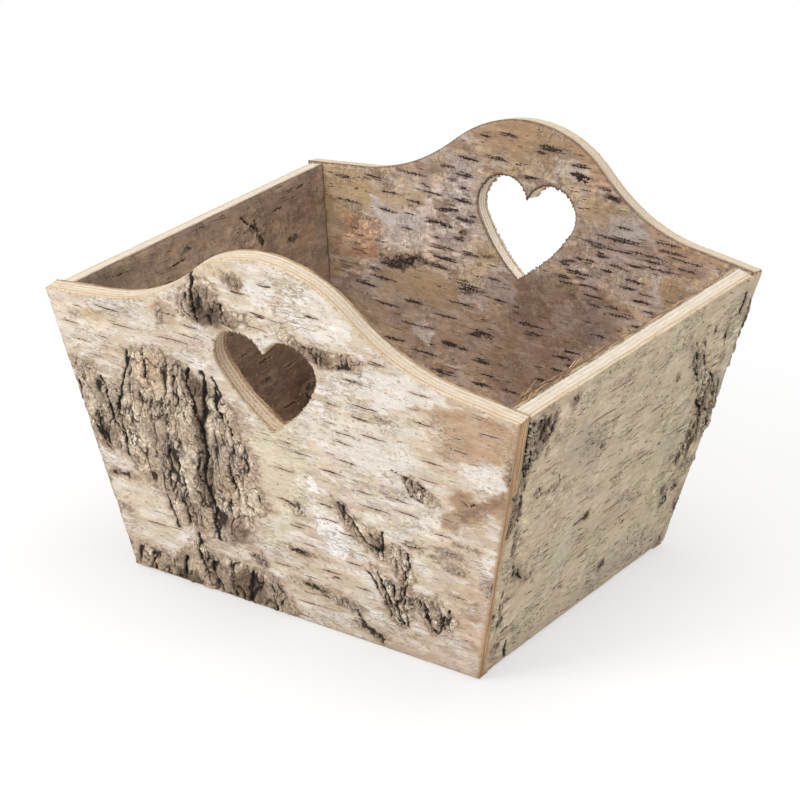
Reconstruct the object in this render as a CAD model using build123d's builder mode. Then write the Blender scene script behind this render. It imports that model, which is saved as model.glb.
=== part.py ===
# A small four-sided basket that widens upwards: two arched end walls with a heart
# cut-out cap the ends of two plain side walls, round a base board. Every wall is a
# plywood core with birch bark on both faces. Millimetres, +Z up, and the origin is
# the centre of the basket's foot. +X runs along the end walls, and -Y is the front.
import os
from math import atan, cos, degrees, sin

from build123d import *

# Overall sizes, measured over the outer bark
top_width = 200
base_width = 151
top_depth = 171
base_depth = 132
corner_height = 112

# Boards
core_thickness = 5.4
bark_thickness = 1.3
base_thickness = 6
bark_lift = 0.6  # the bark's lower edge stops this far above the floor

# Arch of the end walls, up the wall's own slope from the height of its corners
shoulder_reach = 52.3  # from the middle to where the shoulder and the slope would meet
shoulder_rise = 5.8
gable_rise = 52.2  # to where both slopes would meet, before the crown is rounded
shoulder_radius = 70
crown_radius = 48

# Heart cut-outs, both cut to one outline
heart_height = 39
heart_notch_depth = 7
heart_lobe_reach = 10.6  # from the middle to the top of a lobe
heart_flank_reach = 20.5  # from the middle to where a lobe runs into the side
heart_flank_drop = 17  # from the top of a lobe to there

# Place of each heart's middle in its wall: sideways seen from outside, and up the slope
front_heart_shift = -3.4
front_heart_rise = 99.6
front_heart_tilt = 2  # degrees
back_heart_shift = -1.8
back_heart_rise = 107.5
back_heart_tilt = 0  # degrees

# Headless brads that pin the boards together under the outer bark
brad_length = 18
brad_diameter = 1.2
brad_clearance = 0.05
brad_set = 0.3  # how far the head lies below the core's face
pilot_overrun = 1  # how far a pilot hole runs on past each end of its brad
corner_brad_height_shares = (0.2, 0.5, 0.8)  # of the corner height
base_brad_reach_share = 0.28  # of the base's width or depth, from the middle

wall_thickness = core_thickness + 2 * bark_thickness
end_lean = atan((top_depth - base_depth) / 2 / corner_height)
side_lean = atan((top_width - base_width) / 2 / corner_height)
end_slope = corner_height / cos(end_lean)
side_slope = corner_height / cos(side_lean)

# Outer face of each wall: x runs level, to the right seen from outside, and y up the slope
front_face = Plane(
    origin=(0, -base_depth / 2, 0), x_dir=(1, 0, 0), z_dir=(0, -cos(end_lean), -sin(end_lean))
)
back_face = Plane(
    origin=(0, base_depth / 2, 0), x_dir=(-1, 0, 0), z_dir=(0, cos(end_lean), -sin(end_lean))
)
left_face = Plane(
    origin=(-base_width / 2, 0, 0), x_dir=(0, -1, 0), z_dir=(-cos(side_lean), 0, -sin(side_lean))
)
right_face = Plane(
    origin=(base_width / 2, 0, 0), x_dir=(0, 1, 0), z_dir=(cos(side_lean), 0, -sin(side_lean))
)


def heart_outline(shift, rise, tilt):
    """Heart of the cut-out, placed by its middle on a wall's face."""
    top = heart_height / 2
    notch = (0, top - heart_notch_depth)
    lobe_top = (heart_lobe_reach, top)
    flank = (heart_flank_reach, top - heart_flank_drop)
    tip = (0, -heart_height / 2)
    with BuildSketch() as heart:
        with BuildLine():
            lobe = ThreePointArc(notch, lobe_top, flank)
            TangentArc(flank, tip, tangent=lobe % 1)
            mirror(about=Plane.YZ)
        make_face()
    return heart.sketch.moved(Location((shift, rise, 0), (0, 0, tilt)))


def end_wall_outline(heart):
    """Arched end wall with its heart, and a spare strip below the foot."""
    spare = wall_thickness
    flare = (top_width - base_width) / 2 / end_slope
    foot_half = base_width / 2 - spare * flare
    shoulder = end_slope + shoulder_rise
    with BuildSketch() as outline:
        with BuildLine():
            arch = FilletPolyline(
                (-top_width / 2, end_slope),
                (-shoulder_reach, shoulder),
                (0, end_slope + gable_rise),
                (shoulder_reach, shoulder),
                (top_width / 2, end_slope),
                radius=(shoulder_radius, crown_radius, shoulder_radius),
            )
            Polyline(arch @ 0, (-foot_half, -spare), (foot_half, -spare), arch @ 1)
        make_face()
        add(heart, mode=Mode.SUBTRACT)
    return outline.sketch


def side_wall_outline():
    """Plain side wall, longer than it will be and with a spare strip below the foot."""
    spare = wall_thickness
    with BuildSketch() as outline:
        with Locations((0, (side_slope - spare) / 2)):
            Rectangle(top_depth, side_slope + spare)
    return outline.sketch


def reach(base_size, top_size, height):
    """From the basket's middle to a wall's outer face, level, at a height."""
    return (base_size + (top_size - base_size) * height / corner_height) / 2


def brad_centre(base_size, top_size, lean, height):
    """From the basket's middle to the middle of a brad that is driven in level."""
    core_face = reach(base_size, top_size, height) - bark_thickness / cos(lean)
    return core_face - brad_set - brad_length / 2


# Middles of the brads. Those at the corners run along Y into the ends of the side cores,
# and those at the foot run along Y or X into the edges of the base board.
corner_spots = []
for share in corner_brad_height_shares:
    height = share * corner_height
    side_core = (
        reach(base_width, top_width, height)
        - (bark_thickness + core_thickness / 2) / cos(side_lean)
    )
    end_y = brad_centre(base_depth, top_depth, end_lean, height)
    corner_spots += [(x, y, height) for x in (-side_core, side_core) for y in (-end_y, end_y)]

base_middle = base_thickness / 2
end_y = brad_centre(base_depth, top_depth, end_lean, base_middle)
side_x = brad_centre(base_width, top_width, side_lean, base_middle)
along_x = base_brad_reach_share * base_width
along_y = base_brad_reach_share * base_depth
end_spots = [(x, y, base_middle) for x in (-along_x, along_x) for y in (-end_y, end_y)]
side_spots = [(x, y, base_middle) for x in (-side_x, side_x) for y in (-along_y, along_y)]

with BuildPart() as corner_brads:
    with Locations(*corner_spots):
        Cylinder(brad_diameter / 2, brad_length, rotation=(90, 0, 0))

with BuildPart() as base_brads:
    with Locations(*end_spots):
        Cylinder(brad_diameter / 2, brad_length, rotation=(90, 0, 0))
    with Locations(*side_spots):
        Cylinder(brad_diameter / 2, brad_length, rotation=(0, 90, 0))

pilot_radius = brad_diameter / 2 + brad_clearance
pilot_length = brad_length + 2 * pilot_overrun
with BuildPart() as pilot_holes:
    with Locations(*corner_spots, *end_spots):
        Cylinder(pilot_radius, pilot_length, rotation=(90, 0, 0))
    with Locations(*side_spots):
        Cylinder(pilot_radius, pilot_length, rotation=(0, 90, 0))

with BuildPart() as base_board:
    with BuildSketch():
        Rectangle(base_width, base_depth)
    extrude(amount=base_thickness)
    for face in (front_face, back_face, left_face, right_face):
        split(bisect_by=face.offset(-wall_thickness), keep=Keep.BOTTOM)
    add(pilot_holes.part, mode=Mode.SUBTRACT)

# Walls, layer by layer from the outside in
front_heart = heart_outline(front_heart_shift, front_heart_rise, front_heart_tilt)
back_heart = heart_outline(back_heart_shift, back_heart_rise, back_heart_tilt)
walls = {
    "front": (front_face, end_wall_outline(front_heart)),
    "back": (back_face, end_wall_outline(back_heart)),
    "left": (left_face, side_wall_outline()),
    "right": (right_face, side_wall_outline()),
}
# Depth below the outer face, thickness and height of the lower edge above the floor
layers = {
    "outer_bark": (0, bark_thickness, bark_lift),
    "core": (bark_thickness, core_thickness, 0),
    "inner_bark": (bark_thickness + core_thickness, bark_thickness, bark_lift),
}
pieces = {
    "corner_brads": corner_brads,
    "base_brads": base_brads,
    "base_board": base_board,
}
for wall, (face, outline) in walls.items():
    for layer, (depth, thickness, lift) in layers.items():
        with BuildPart() as piece:
            with BuildSketch(face.offset(-depth)):
                add(outline)
            extrude(amount=-thickness)
            split(bisect_by=Plane.XY.offset(lift), keep=Keep.TOP)
            if wall in ("left", "right"):
                # The side walls end at the inner faces of the end walls
                split(bisect_by=front_face.offset(-wall_thickness), keep=Keep.BOTTOM)
                split(bisect_by=back_face.offset(-wall_thickness), keep=Keep.BOTTOM)
            if layer != "outer_bark":
                add(pilot_holes.part, mode=Mode.SUBTRACT)
        pieces[f"{wall}_{layer}"] = piece

os.makedirs("parts", exist_ok=True)
for name, piece in pieces.items():
    piece.part.label = name
    export_step(piece.part, f"parts/{name}.step")
    size = piece.part.bounding_box().size
    print(f"{name}: {size.X:.1f} x {size.Y:.1f} x {size.Z:.1f} mm")
print(f"end walls lean {degrees(end_lean):.2f} degrees, side walls {degrees(side_lean):.2f}")
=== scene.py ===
# A birch bark basket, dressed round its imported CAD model. The CAD boards, base and
# brads stay and get wood and steel finishes. Each flat sheet of bark is replaced by
# a modelled one, with furrowed plates, cracks, lenticels and worn, ragged edges.
from math import atan, cos, pi, radians, sin, tan

import bpy
import numpy as np
from mathutils import Matrix, Vector
from mathutils.geometry import delaunay_2d_cdt


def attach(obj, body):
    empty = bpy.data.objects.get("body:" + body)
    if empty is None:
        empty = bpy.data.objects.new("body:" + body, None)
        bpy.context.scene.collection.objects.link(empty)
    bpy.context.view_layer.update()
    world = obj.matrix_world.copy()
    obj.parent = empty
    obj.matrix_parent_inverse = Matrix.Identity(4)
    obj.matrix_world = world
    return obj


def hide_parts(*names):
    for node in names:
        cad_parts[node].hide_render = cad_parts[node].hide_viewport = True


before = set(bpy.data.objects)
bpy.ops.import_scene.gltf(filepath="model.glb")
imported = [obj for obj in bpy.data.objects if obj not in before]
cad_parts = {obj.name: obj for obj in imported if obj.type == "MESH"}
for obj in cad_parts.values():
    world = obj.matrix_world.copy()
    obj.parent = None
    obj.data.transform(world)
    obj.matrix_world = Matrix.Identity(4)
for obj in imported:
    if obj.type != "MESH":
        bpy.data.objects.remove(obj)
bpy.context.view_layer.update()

MM = 0.001

# Sizes of the basket in mm, as in the CAD model
TOP_WIDTH = 200
BASE_WIDTH = 151
TOP_DEPTH = 171
BASE_DEPTH = 132
CORNER_HEIGHT = 112
CORE = 5.4
BARK = 1.3
WALL = CORE + 2 * BARK
BARK_LIFT = 0.6
SHOULDER_REACH = 52.3
SHOULDER_RISE = 5.8
GABLE_RISE = 52.2
SHOULDER_RADIUS = 70
CROWN_RADIUS = 48
HEART_HEIGHT = 39
HEART_NOTCH = 7
HEART_LOBE_REACH = 10.6
HEART_FLANK_REACH = 20.5
HEART_FLANK_DROP = 17
FRONT_HEART = (-3.4, 99.6, 2)  # across to +X, up the slope, tilt in degrees
BACK_HEART = (1.8, 107.5, 0)

END_LEAN = atan((TOP_DEPTH - BASE_DEPTH) / 2 / CORNER_HEIGHT)
SIDE_LEAN = atan((TOP_WIDTH - BASE_WIDTH) / 2 / CORNER_HEIGHT)
END_SLOPE = CORNER_HEIGHT / cos(END_LEAN)
SIDE_SLOPE = CORNER_HEIGHT / cos(SIDE_LEAN)
END_FLARE = (TOP_WIDTH - BASE_WIDTH) / 2 / END_SLOPE

# The photograph's camera: it looks at the basket from the right of the front
CAMERA_AZIMUTH = radians(33.207)
CAMERA_ELEVATION = radians(24.237)
CAMERA_ROLL = radians(1.242)
CAMERA_DISTANCE = 1186.7
CAMERA_ASIDE = -0.9
CAMERA_ABOVE = 58.0
CAMERA_LENS = 141.2
SENSOR_WIDTH = 36


# Noise

def ramp(value, low, high):
    """A smooth step from 0 at low to 1 at high."""
    t = np.clip((value - low) / (high - low), 0, 1)
    return t * t * (3 - 2 * t)


class Noise:
    """Seeded gradient noise and cells in the plane."""

    def __init__(self, seed):
        rng = np.random.default_rng(seed)
        self.table = rng.permutation(256)
        turn = rng.uniform(0, 2 * pi, 256)
        self.gradient = np.cos(turn), np.sin(turn)
        self.spot = rng.random(256), rng.random(256)
        self.value = rng.random(256)

    def corner(self, i, j):
        """Number of a corner of the grid, in a jumbled order."""
        return self.table[(self.table[i & 255] + j) & 255]

    def at(self, x, y):
        """Gradient noise, about -1 to 1."""
        i, j = np.floor(x).astype(int), np.floor(y).astype(int)
        u, v = x - i, y - j
        su, sv = ramp(u, 0, 1), ramp(v, 0, 1)
        total = 0
        for di, wu in ((0, 1 - su), (1, su)):
            for dj, wv in ((0, 1 - sv), (1, sv)):
                k = self.corner(i + di, j + dj)
                total = total + wu * wv * (self.gradient[0][k] * (u - di) + self.gradient[1][k] * (v - dj))
        return total * 1.5

    def layers(self, x, y, count=4):
        """Noise in layers, each half as large as the one before."""
        total, size, shift = 0, 1.0, 0.0
        for _ in range(count):
            total = total + self.at(x / size + shift, y / size + shift) * size
            size, shift = size / 2, shift + 19.7
        return total / 1.5

    def cells(self, x, y):
        """Cells round scattered spots: how near their seam each point is, and its cell's number."""
        i, j = np.floor(x).astype(int), np.floor(y).astype(int)
        first = np.full(x.shape, 9.0)
        second = np.full(x.shape, 9.0)
        number = np.zeros(x.shape)
        for di in (-1, 0, 1):
            for dj in (-1, 0, 1):
                k = self.corner(i + di, j + dj)
                away = np.hypot(i + di + self.spot[0][k] - x, j + dj + self.spot[1][k] - y)
                nearer = away < first
                second = np.where(nearer, first, np.minimum(second, away))
                number = np.where(nearer, self.value[k], number)
                first = np.where(nearer, away, first)
        return second - first, number


# Outlines

def rounded(points, radii, step):
    """A polyline with its inner corners rounded, as points about one step apart."""
    points = [np.array(p, float) for p in points]
    stops = [points[0]]
    for before, corner, after, radius in zip(points, points[1:], points[2:], radii):
        a = (before - corner) / np.linalg.norm(before - corner)
        b = (after - corner) / np.linalg.norm(after - corner)
        half = np.arccos(np.clip(a @ b, -1, 1)) / 2
        centre = corner + (a + b) / np.linalg.norm(a + b) * radius / sin(half)
        start = corner + a * radius / tan(half)
        finish = corner + b * radius / tan(half)
        stops += list(arc(centre, start, finish, step))
    stops.append(points[-1])
    return spaced(np.array(stops), step)


def arc(centre, start, finish, step):
    """The shorter arc from start to finish round a centre."""
    a, b = start - centre, finish - centre
    turn = np.arctan2(a[0] * b[1] - a[1] * b[0], a @ b)
    radius = np.linalg.norm(a)
    count = max(3, int(abs(turn) * radius / step))
    t = np.linspace(0, turn, count)[:, None]
    side = np.array([-a[1], a[0]])
    return centre + a * np.cos(t) + side * np.sin(t)


def spaced(line, step):
    """The same line with points that lie about one step apart, both ends kept."""
    run = np.r_[0, np.cumsum(np.linalg.norm(np.diff(line, axis=0), axis=1))]
    t = np.linspace(0, run[-1], max(2, round(run[-1] / step) + 1))
    return np.c_[np.interp(t, run, line[:, 0]), np.interp(t, run, line[:, 1])]


def heart_loop(place, step):
    """Closed outline of a heart cut-out on its wall's face, anticlockwise."""
    across, rise, tilt = place
    top = HEART_HEIGHT / 2
    notch = np.array([0, top - HEART_NOTCH])
    lobe_top = np.array([HEART_LOBE_REACH, top])
    flank = np.array([HEART_FLANK_REACH, top - HEART_FLANK_DROP])
    tip = np.array([0, -top])
    # The lobe's circle passes through its three points
    rows = 2 * np.array([lobe_top - notch, flank - notch])
    centre = np.linalg.solve(rows, [lobe_top @ lobe_top - notch @ notch, flank @ flank - notch @ notch])
    upper = arc(centre, notch, lobe_top, step)
    lower = arc(centre, lobe_top, flank, step)
    # The side is an arc that leaves the lobe smoothly and ends at the tip
    inward = (centre - flank) / np.linalg.norm(centre - flank)
    chord = tip - flank
    radius = chord @ chord / (2 * chord @ inward)
    side = arc(flank + inward * radius, flank, tip, step)
    right = np.vstack([upper, lower, side])
    loop = np.vstack([right, (right * (-1, 1))[::-1]])[::-1]
    turn = radians(tilt)
    spin = np.array([[cos(turn), sin(turn)], [-sin(turn), cos(turn)]])
    loop = spaced(loop, step)[:-1] @ spin
    return loop + (across, rise)


def distance_to(line, x, s, closed=False):
    """From each point to the nearest spot of a line of points."""
    line = np.array(line, float)
    if closed:
        line = np.vstack([line, line[:1]])
    best = np.full(np.shape(x), 1e9)
    for (ax, ay), (bx, by) in zip(line, line[1:]):
        dx, dy = bx - ax, by - ay
        t = np.clip(((x - ax) * dx + (s - ay) * dy) / max(dx * dx + dy * dy, 1e-9), 0, 1)
        best = np.minimum(best, (x - ax - t * dx) ** 2 + (s - ay - t * dy) ** 2)
    return np.sqrt(best)


def inside(loop, x, s):
    """Whether each point lies within a closed loop."""
    odd = np.zeros(np.shape(x), bool)
    for (ax, ay), (bx, by) in zip(loop, np.roll(loop, -1, axis=0)):
        if ay != by:
            crossing = (ay > s) != (by > s)
            odd ^= crossing & (x < ax + (s - ay) * (bx - ax) / (by - ay))
    return odd


def depth_in(loop, x, s):
    """Distance to a loop's line, positive inside it."""
    away = distance_to(loop, x, s, closed=True)
    return np.where(inside(loop, x, s), away, -away)


# Colours, as they look in plain light, 0 to 255

WHITE = (226, 218, 208)
CREAM = (206, 192, 170)
PINK = (203, 184, 167)
TAN = (192, 166, 136)
YELLOW = (212, 199, 172)
ROSE_BROWN = (180, 152, 130)
FURROW = (58, 47, 39)
DARK_GAP = (46, 38, 32)
BLACK = (38, 32, 27)


def linear(colours):
    """Display colours, 0 to 255, as linear light."""
    c = np.clip(np.asarray(colours, float) / 255, 0, 1)
    return np.where(c <= 0.04045, c / 12.92, ((c + 0.055) / 1.055) ** 2.4)


def opaque(colours):
    return np.c_[linear(colours), np.ones(len(colours))]


def flat_colour(count, colour):
    return np.tile(np.array(colour, float), (count, 1))


def mix(colours, target, share):
    """Colours moved towards one target by a share for each point."""
    return colours + (np.array(target, float) - colours) * share[:, None]


def oval(x, s, cx, cs, rx, rs):
    """Distance from the middle of an oval, 1 on its line."""
    return np.hypot((x - cx) / rx, (s - cs) / rs)


# Bark

def furrowed(n, x, s, look):
    """Corky bark that splits along the trunk: height from 0 to about 1, colour, and where it
    splits. The last are two fields that pass through 0 along the cracks."""
    fine = n.layers(x / 1.3 + 70, s / 1.5, 3)
    crumb = n.layers(x / 0.95 + 7, s / 0.8 + 70, 2)
    # Wide splits along the trunk, narrow nicks between them, and scales
    ax = x / 5.6 + 0.9 * n.layers(x / 15 + 3, s / 20 + 8, 3)
    along = s / 19 + 0.25 * n.layers(x / 9 + 31, s / 12, 3)
    wide_field = n.layers(ax + 23, along, 3) + 0.03 * fine
    wide = np.abs(wide_field)
    bx = x / 2.4 + 0.8 * n.layers(x / 5 + 13, s / 8 + 8, 3)
    bs = s / 5.5 + 0.45 * n.layers(x / 4 + 61, s / 5, 3)
    narrow_field = n.layers(bx, bs, 3) + 0.04 * crumb
    narrow = np.abs(narrow_field)
    scale_x = x / 3.6 + 0.7 * n.layers(x / 3 + 5, s / 3, 4)
    scale_s = s / 2.7 + 0.8 * n.layers(x / 4 + 55, s / 3, 4)
    seam, scale = n.cells(scale_x, scale_s)
    swell = n.layers(x / 8 + 17, s / 13 + 4, 2)
    lumps = n.layers(x / 3.1 + 37, s / 3.4 + 14, 3)
    # Only some splits stand open
    open_here = ramp(n.layers(x / 9 + 7, s / 17 + 2, 3), 0.0, 0.38)
    width = 0.008 + 0.058 * open_here
    split = ramp(wide, 1.9 * width, 0.4 * width)
    nick_here = ramp(n.layers(x / 6 + 3, s / 9, 2), -0.15, 0.25)
    nick = ramp(narrow, 0.07, 0.01) * nick_here
    height = (0.38 + 0.42 * ramp(wide, 0.0, 0.26) + 0.34 * swell + 0.30 * (scale - 0.5) + 0.34 * lumps
              + 0.16 * fine - 0.25 * nick)
    height = height * (1 - 0.9 * split)
    # Plates from light to dark. Their tops are pale, partly worn and partly a painted highlight.
    light, dark = look.get("plates", ((204, 184, 162), (148, 128, 110)))
    tone = n.layers(x / 7 + 90, s / 9 + 12, 4)
    colour = mix(flat_colour(len(x), light), dark, ramp(tone + 0.3 * (scale - 0.5) - 0.4 * lumps, -0.3, 0.4))
    colour = mix(colour, (172, 152, 134), 0.6 * ramp(n.layers(x / 12 + 60, s / 18, 3), 0.02, 0.2))
    colour = colour * (1 + 0.20 * fine + 0.22 * crumb + 0.16 * (scale - 0.5))[:, None]
    streak = n.layers(x / 2.6 + 21, s / 0.9, 3)
    pale = ramp(streak + 0.5 * crumb, 0.22, 0.5) * ramp(height, 0.3, 0.6)
    colour = mix(colour, (220, 204, 182), 0.75 * pale)
    # Low parts, seams, nicks and splits are darker: partly the furrows' own dark, partly painted shade
    colour = mix(colour, (134, 112, 92), 0.4 * ramp(height, 0.42, 0.1))
    colour = mix(colour, FURROW, 0.4 * ramp(seam, 0.09, 0.0) * ramp(fine, -0.2, 0.4))
    colour = mix(colour, FURROW, 0.4 * nick)
    colour = mix(colour, FURROW, 0.35 * ramp(wide, 2.8 * width, 1.2 * width) * ramp(crumb, -0.7, 0.2))
    splits = np.clip(wide_field / width, -9, 9), np.clip(narrow_field / (0.005 + 0.05 * nick_here), -9, 9)
    return height, colour, splits


def skin(n, look, x, s, wx, ws, streak, fine):
    """Height above the board and colour of the smooth, papery bark."""
    broad = n.layers(x / 34, s / 15 + 30, 3)
    colour = flat_colour(len(x), look["base"])
    height = BARK - 0.12 + 0.12 * broad
    for target, across, rise, low, high, share in look["mottle"]:
        patch = n.layers(x / across + rise * 7, s / rise + across, 5)
        colour = mix(colour, target, share * ramp(patch, low, high))
    for *place, target, share in look["tints"]:
        r = oval(wx, ws, *place) + 0.16 * fine
        colour = mix(colour, target, share * ramp(r, 1.2, 0.7))
    # The same blotches again, fainter, over the tints
    for target, across, rise, low, high, share in look["mottle"]:
        patch = n.layers(x / (0.7 * across) + rise * 5, s / (0.8 * rise) - across, 5)
        colour = mix(colour, target, look.get("again", 0.5) * share * ramp(patch, low, high))
    # Peeled patches with a crisp edge
    torn = 1.5 * n.layers(x / 5 + 8, s / 1.7 + 8, 4) + 0.3 * fine
    for loop, target, share, step in look.get("peels", ()):
        depth = depth_in(loop, wx, ws) + torn
        cover = ramp(depth, -0.3, 0.3)
        colour = mix(colour, target, share * cover)
        height = height + step * cover
        # A brown line along the torn edge: partly its own colour, partly painted shadow of the step
        edge = ramp(np.abs(depth), 0.34, 0.1) * ramp(n.layers(x / 5 + 11, s / 5, 2), -0.1, 0.35)
        colour = mix(colour, (168, 140, 108), 0.55 * edge)
    # Thin flakes of the papery skin, each a shade of its own
    level = n.layers(wx / 15 + 3, ws / 3.2, 4)
    lifted = ramp(np.abs(level), 0.030, 0.008) * ramp(n.layers(x / 9 + 44, s / 5, 3), 0.02, 0.3)
    colour = mix(colour, (164, 134, 104), 0.7 * look["flakes"] * lifted)
    upper = ramp(level, -0.02, 0.02)
    colour = colour * (1 + 0.025 * look["flakes"] * (upper - 0.5))[:, None]
    colour = colour * (1 + 0.04 * streak + 0.035 * fine + 0.03 * broad)[:, None]
    height = height + look["flakes"] * (0.10 * upper + 0.05 * streak)
    # Small brown scurf
    scurf = n.layers(x / 2.6 + 33, s / 1.1 + 7, 4)
    where = n.layers(x / 18 + 2, s / 11 + 9, 2)
    start = look.get("scurf", 0.52)
    colour = mix(colour, ROSE_BROWN, 0.75 * ramp(scurf + 0.35 * where, start, start + 0.12))
    colour = mix(colour, (112, 92, 76), 0.7 * ramp(scurf + 0.25 * where, start + 0.13, start + 0.22))
    # Scaly places, where small flakes seem lifted: each flake a random tone, and painted shade in the seams
    # between them
    bent = 0.9 * n.layers(x / 2.2 + 81, s / 1.6 + 17, 3)
    gap, flake = n.cells(x / 2.6 + bent, s / 1.25 + bent)
    for *place, share in look.get("scaly", ()):
        share = share * ramp(oval(wx, ws, *place) + 0.3 * fine, 1.2, 0.7)
        colour = colour * (1 + 0.42 * share * (flake - 0.45))[:, None]
        colour = mix(colour, (96, 78, 68), 0.55 * share * ramp(gap, 0.14, 0.02) * ramp(streak, -0.3, 0.2))
    # A brown breath round each lenticel
    for cx, cs, length, width in look["dashes"]:
        r = oval(x, s, cx, cs, length / 2 + 1.2, 0.5 * width + 0.8) + 0.25 * fine
        colour = mix(colour, look.get("breath", ROSE_BROWN), 0.42 * ramp(r, 1.2, 0.5))
    return height, colour


def survey(n, look, x, s):
    """At each point: height above the board, colour of the smooth skin and of the cork, how
    corky it is, how near a crack, and the fields of the cork's own splits."""
    # Outlines wander, so that no patch has a drawn edge
    wx = x + 1.9 * n.layers(x / 8, s / 6, 4)
    ws = s + 1.3 * n.layers(x / 7 + 40, s / 5, 4)
    streak = n.layers(x / 16 + 9, s / 1.7, 3)
    fine = n.layers(x / 2.4 + 70, s / 1.1, 3)
    height, colour = skin(n, look, x, s, wx, ws, streak, fine)

    # How far each point has turned to corky bark: below 0 smooth, above 1 wholly corky
    rough = np.full(len(x), -9.0)
    loose = 1.9 * n.layers(x / 4.5 + 5, s / 6, 4) + 0.8 * n.layers(x / 1.7 + 15, s / 1.3, 2)
    for loop, soft in look["rough"]:
        depth = depth_in(loop, wx, ws) + loose * min(1, soft)
        rough = np.maximum(rough, depth / soft)
    corky, cork, splits = furrowed(n, x, s, look)
    for *place, target, share in look.get("shades", ()):
        r = oval(wx, ws, *place) + 0.25 * fine
        cork = cork * (1 - (1 - np.array(target) / 255) * (share * ramp(r, 1.15, 0.6))[:, None])
    for cx, cs, rx, rs in look.get("scabs", ()):
        r = oval(wx, ws, cx, cs, rx, rs)
        rough = np.maximum(rough, (1 - r) * min(rx, rs) + 0.6 * loose)
        cork = cork * (1 - 0.15 * ramp(r, 1.8, 1.0))[:, None]
    # Round it lies a scurfy fringe, then plates with smooth bark between them
    fringe = ramp(rough, -2.2, 0.2) * ramp(rough, 1.6, 0.2)
    speck = n.layers(x / 2.0 + 12, s / 1.4 + 3, 4)
    colour = mix(colour, (190, 166, 140), 0.5 * fringe)
    colour = mix(
        colour, (124, 102, 84), look.get("fringe", 0.6) * fringe * ramp(speck + 0.3 * fringe, 0.28, 0.36),
    )
    rough = np.clip(rough + look.get("islands", 0.6) * (corky - 0.5), -3, 3)
    solid = ramp(rough, -0.1, 0.9)
    relief = look.get("relief", 1.7)
    lift = ramp(rough, -0.4, 2.5)
    height = height * (1 - solid) + solid * (0.45 + relief * corky * (0.35 + 0.65 * lift) + 0.35)
    for *place, rise in look.get("swells", ()):
        height = height + rise * (1 + 0.4 * streak) * ramp(oval(wx, ws, *place), 1.1, 0.2)

    crack = np.zeros(len(x))
    astray = 1.1 * n.layers(x / 4, s / 4, 4)
    for line, width, share in look["cracks"]:
        away = distance_to(line, x + astray, s)
        away = away / (width * np.clip(0.75 + 1.1 * n.layers(x / 3 + 4, s / 5, 3), 0.12, 2.2)) + 0.25 * fine
        crack = np.maximum(crack, share * np.clip(1.6 - away, 0, 1.6))
        carve = share * ramp(away, 1.25, 0.6)
        height = height - carve * np.maximum(height - 0.25, 0)
    return height, colour, cork, rough, crack, splits


# Pieces

# Kind of a mesh layer and the name of its values, by the shape of one value
LAYER_KINDS = {(): ("FLOAT", "value"), (3,): ("FLOAT_VECTOR", "vector"), (4,): ("FLOAT_COLOR", "color")}


def add_layers(mesh, **layers):
    """Values for each vertex, which the materials read by name."""
    for name, values in layers.items():
        kind, field = LAYER_KINDS[np.shape(values)[1:]]
        layer = mesh.attributes.new(name, kind, "POINT")
        layer.data.foreach_set(field, np.ascontiguousarray(values, np.float32).ravel())


def new_mesh(name, points, faces):
    mesh = bpy.data.meshes.new(name)
    mesh.from_pydata(points, [], faces)
    mesh.update()
    return mesh


def link(name, data):
    """A new object in the scene."""
    thing = bpy.data.objects.new(name, data)
    bpy.context.scene.collection.objects.link(thing)
    return thing


def add_piece(name, mesh):
    piece = link(name, mesh)
    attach(piece, "root")
    return piece


# Sheets of bark

FLAP_FOOT = 0.8  # a flap's underside lies inside the bark below it
FLAP_RISE = 0.5
COARSE_STEP = 3.0  # of the outlines that are only used far from a rim
HOLE_STEP = 0.36
COARSE_HOLE_STEP = 1.5
ROW_STEP = 0.866  # rows of the grid, in grains, for triangles with equal sides
JITTER = 0.14  # of the grid's points, in grains
RIM_GAP = 0.55  # between a rim and the grid, in grains
TOOTH_STEP = 1.6  # of the saw round a heart
LENTICEL_STEP = 0.34
BUNDLE_WIDTH = 0.85  # from which a lenticel is a bundle of strands
BARB_SHARE = 0.33
RIM_COLOUR = (190, 166, 130)


def depth_near(rim, coarse, x, s):
    """Distance inside a loop, exact near its rim and rough elsewhere."""
    depth = depth_in(coarse, x, s)
    near = np.abs(depth) < 3
    depth[near] = depth_in(rim, x[near], s[near])
    return depth


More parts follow.
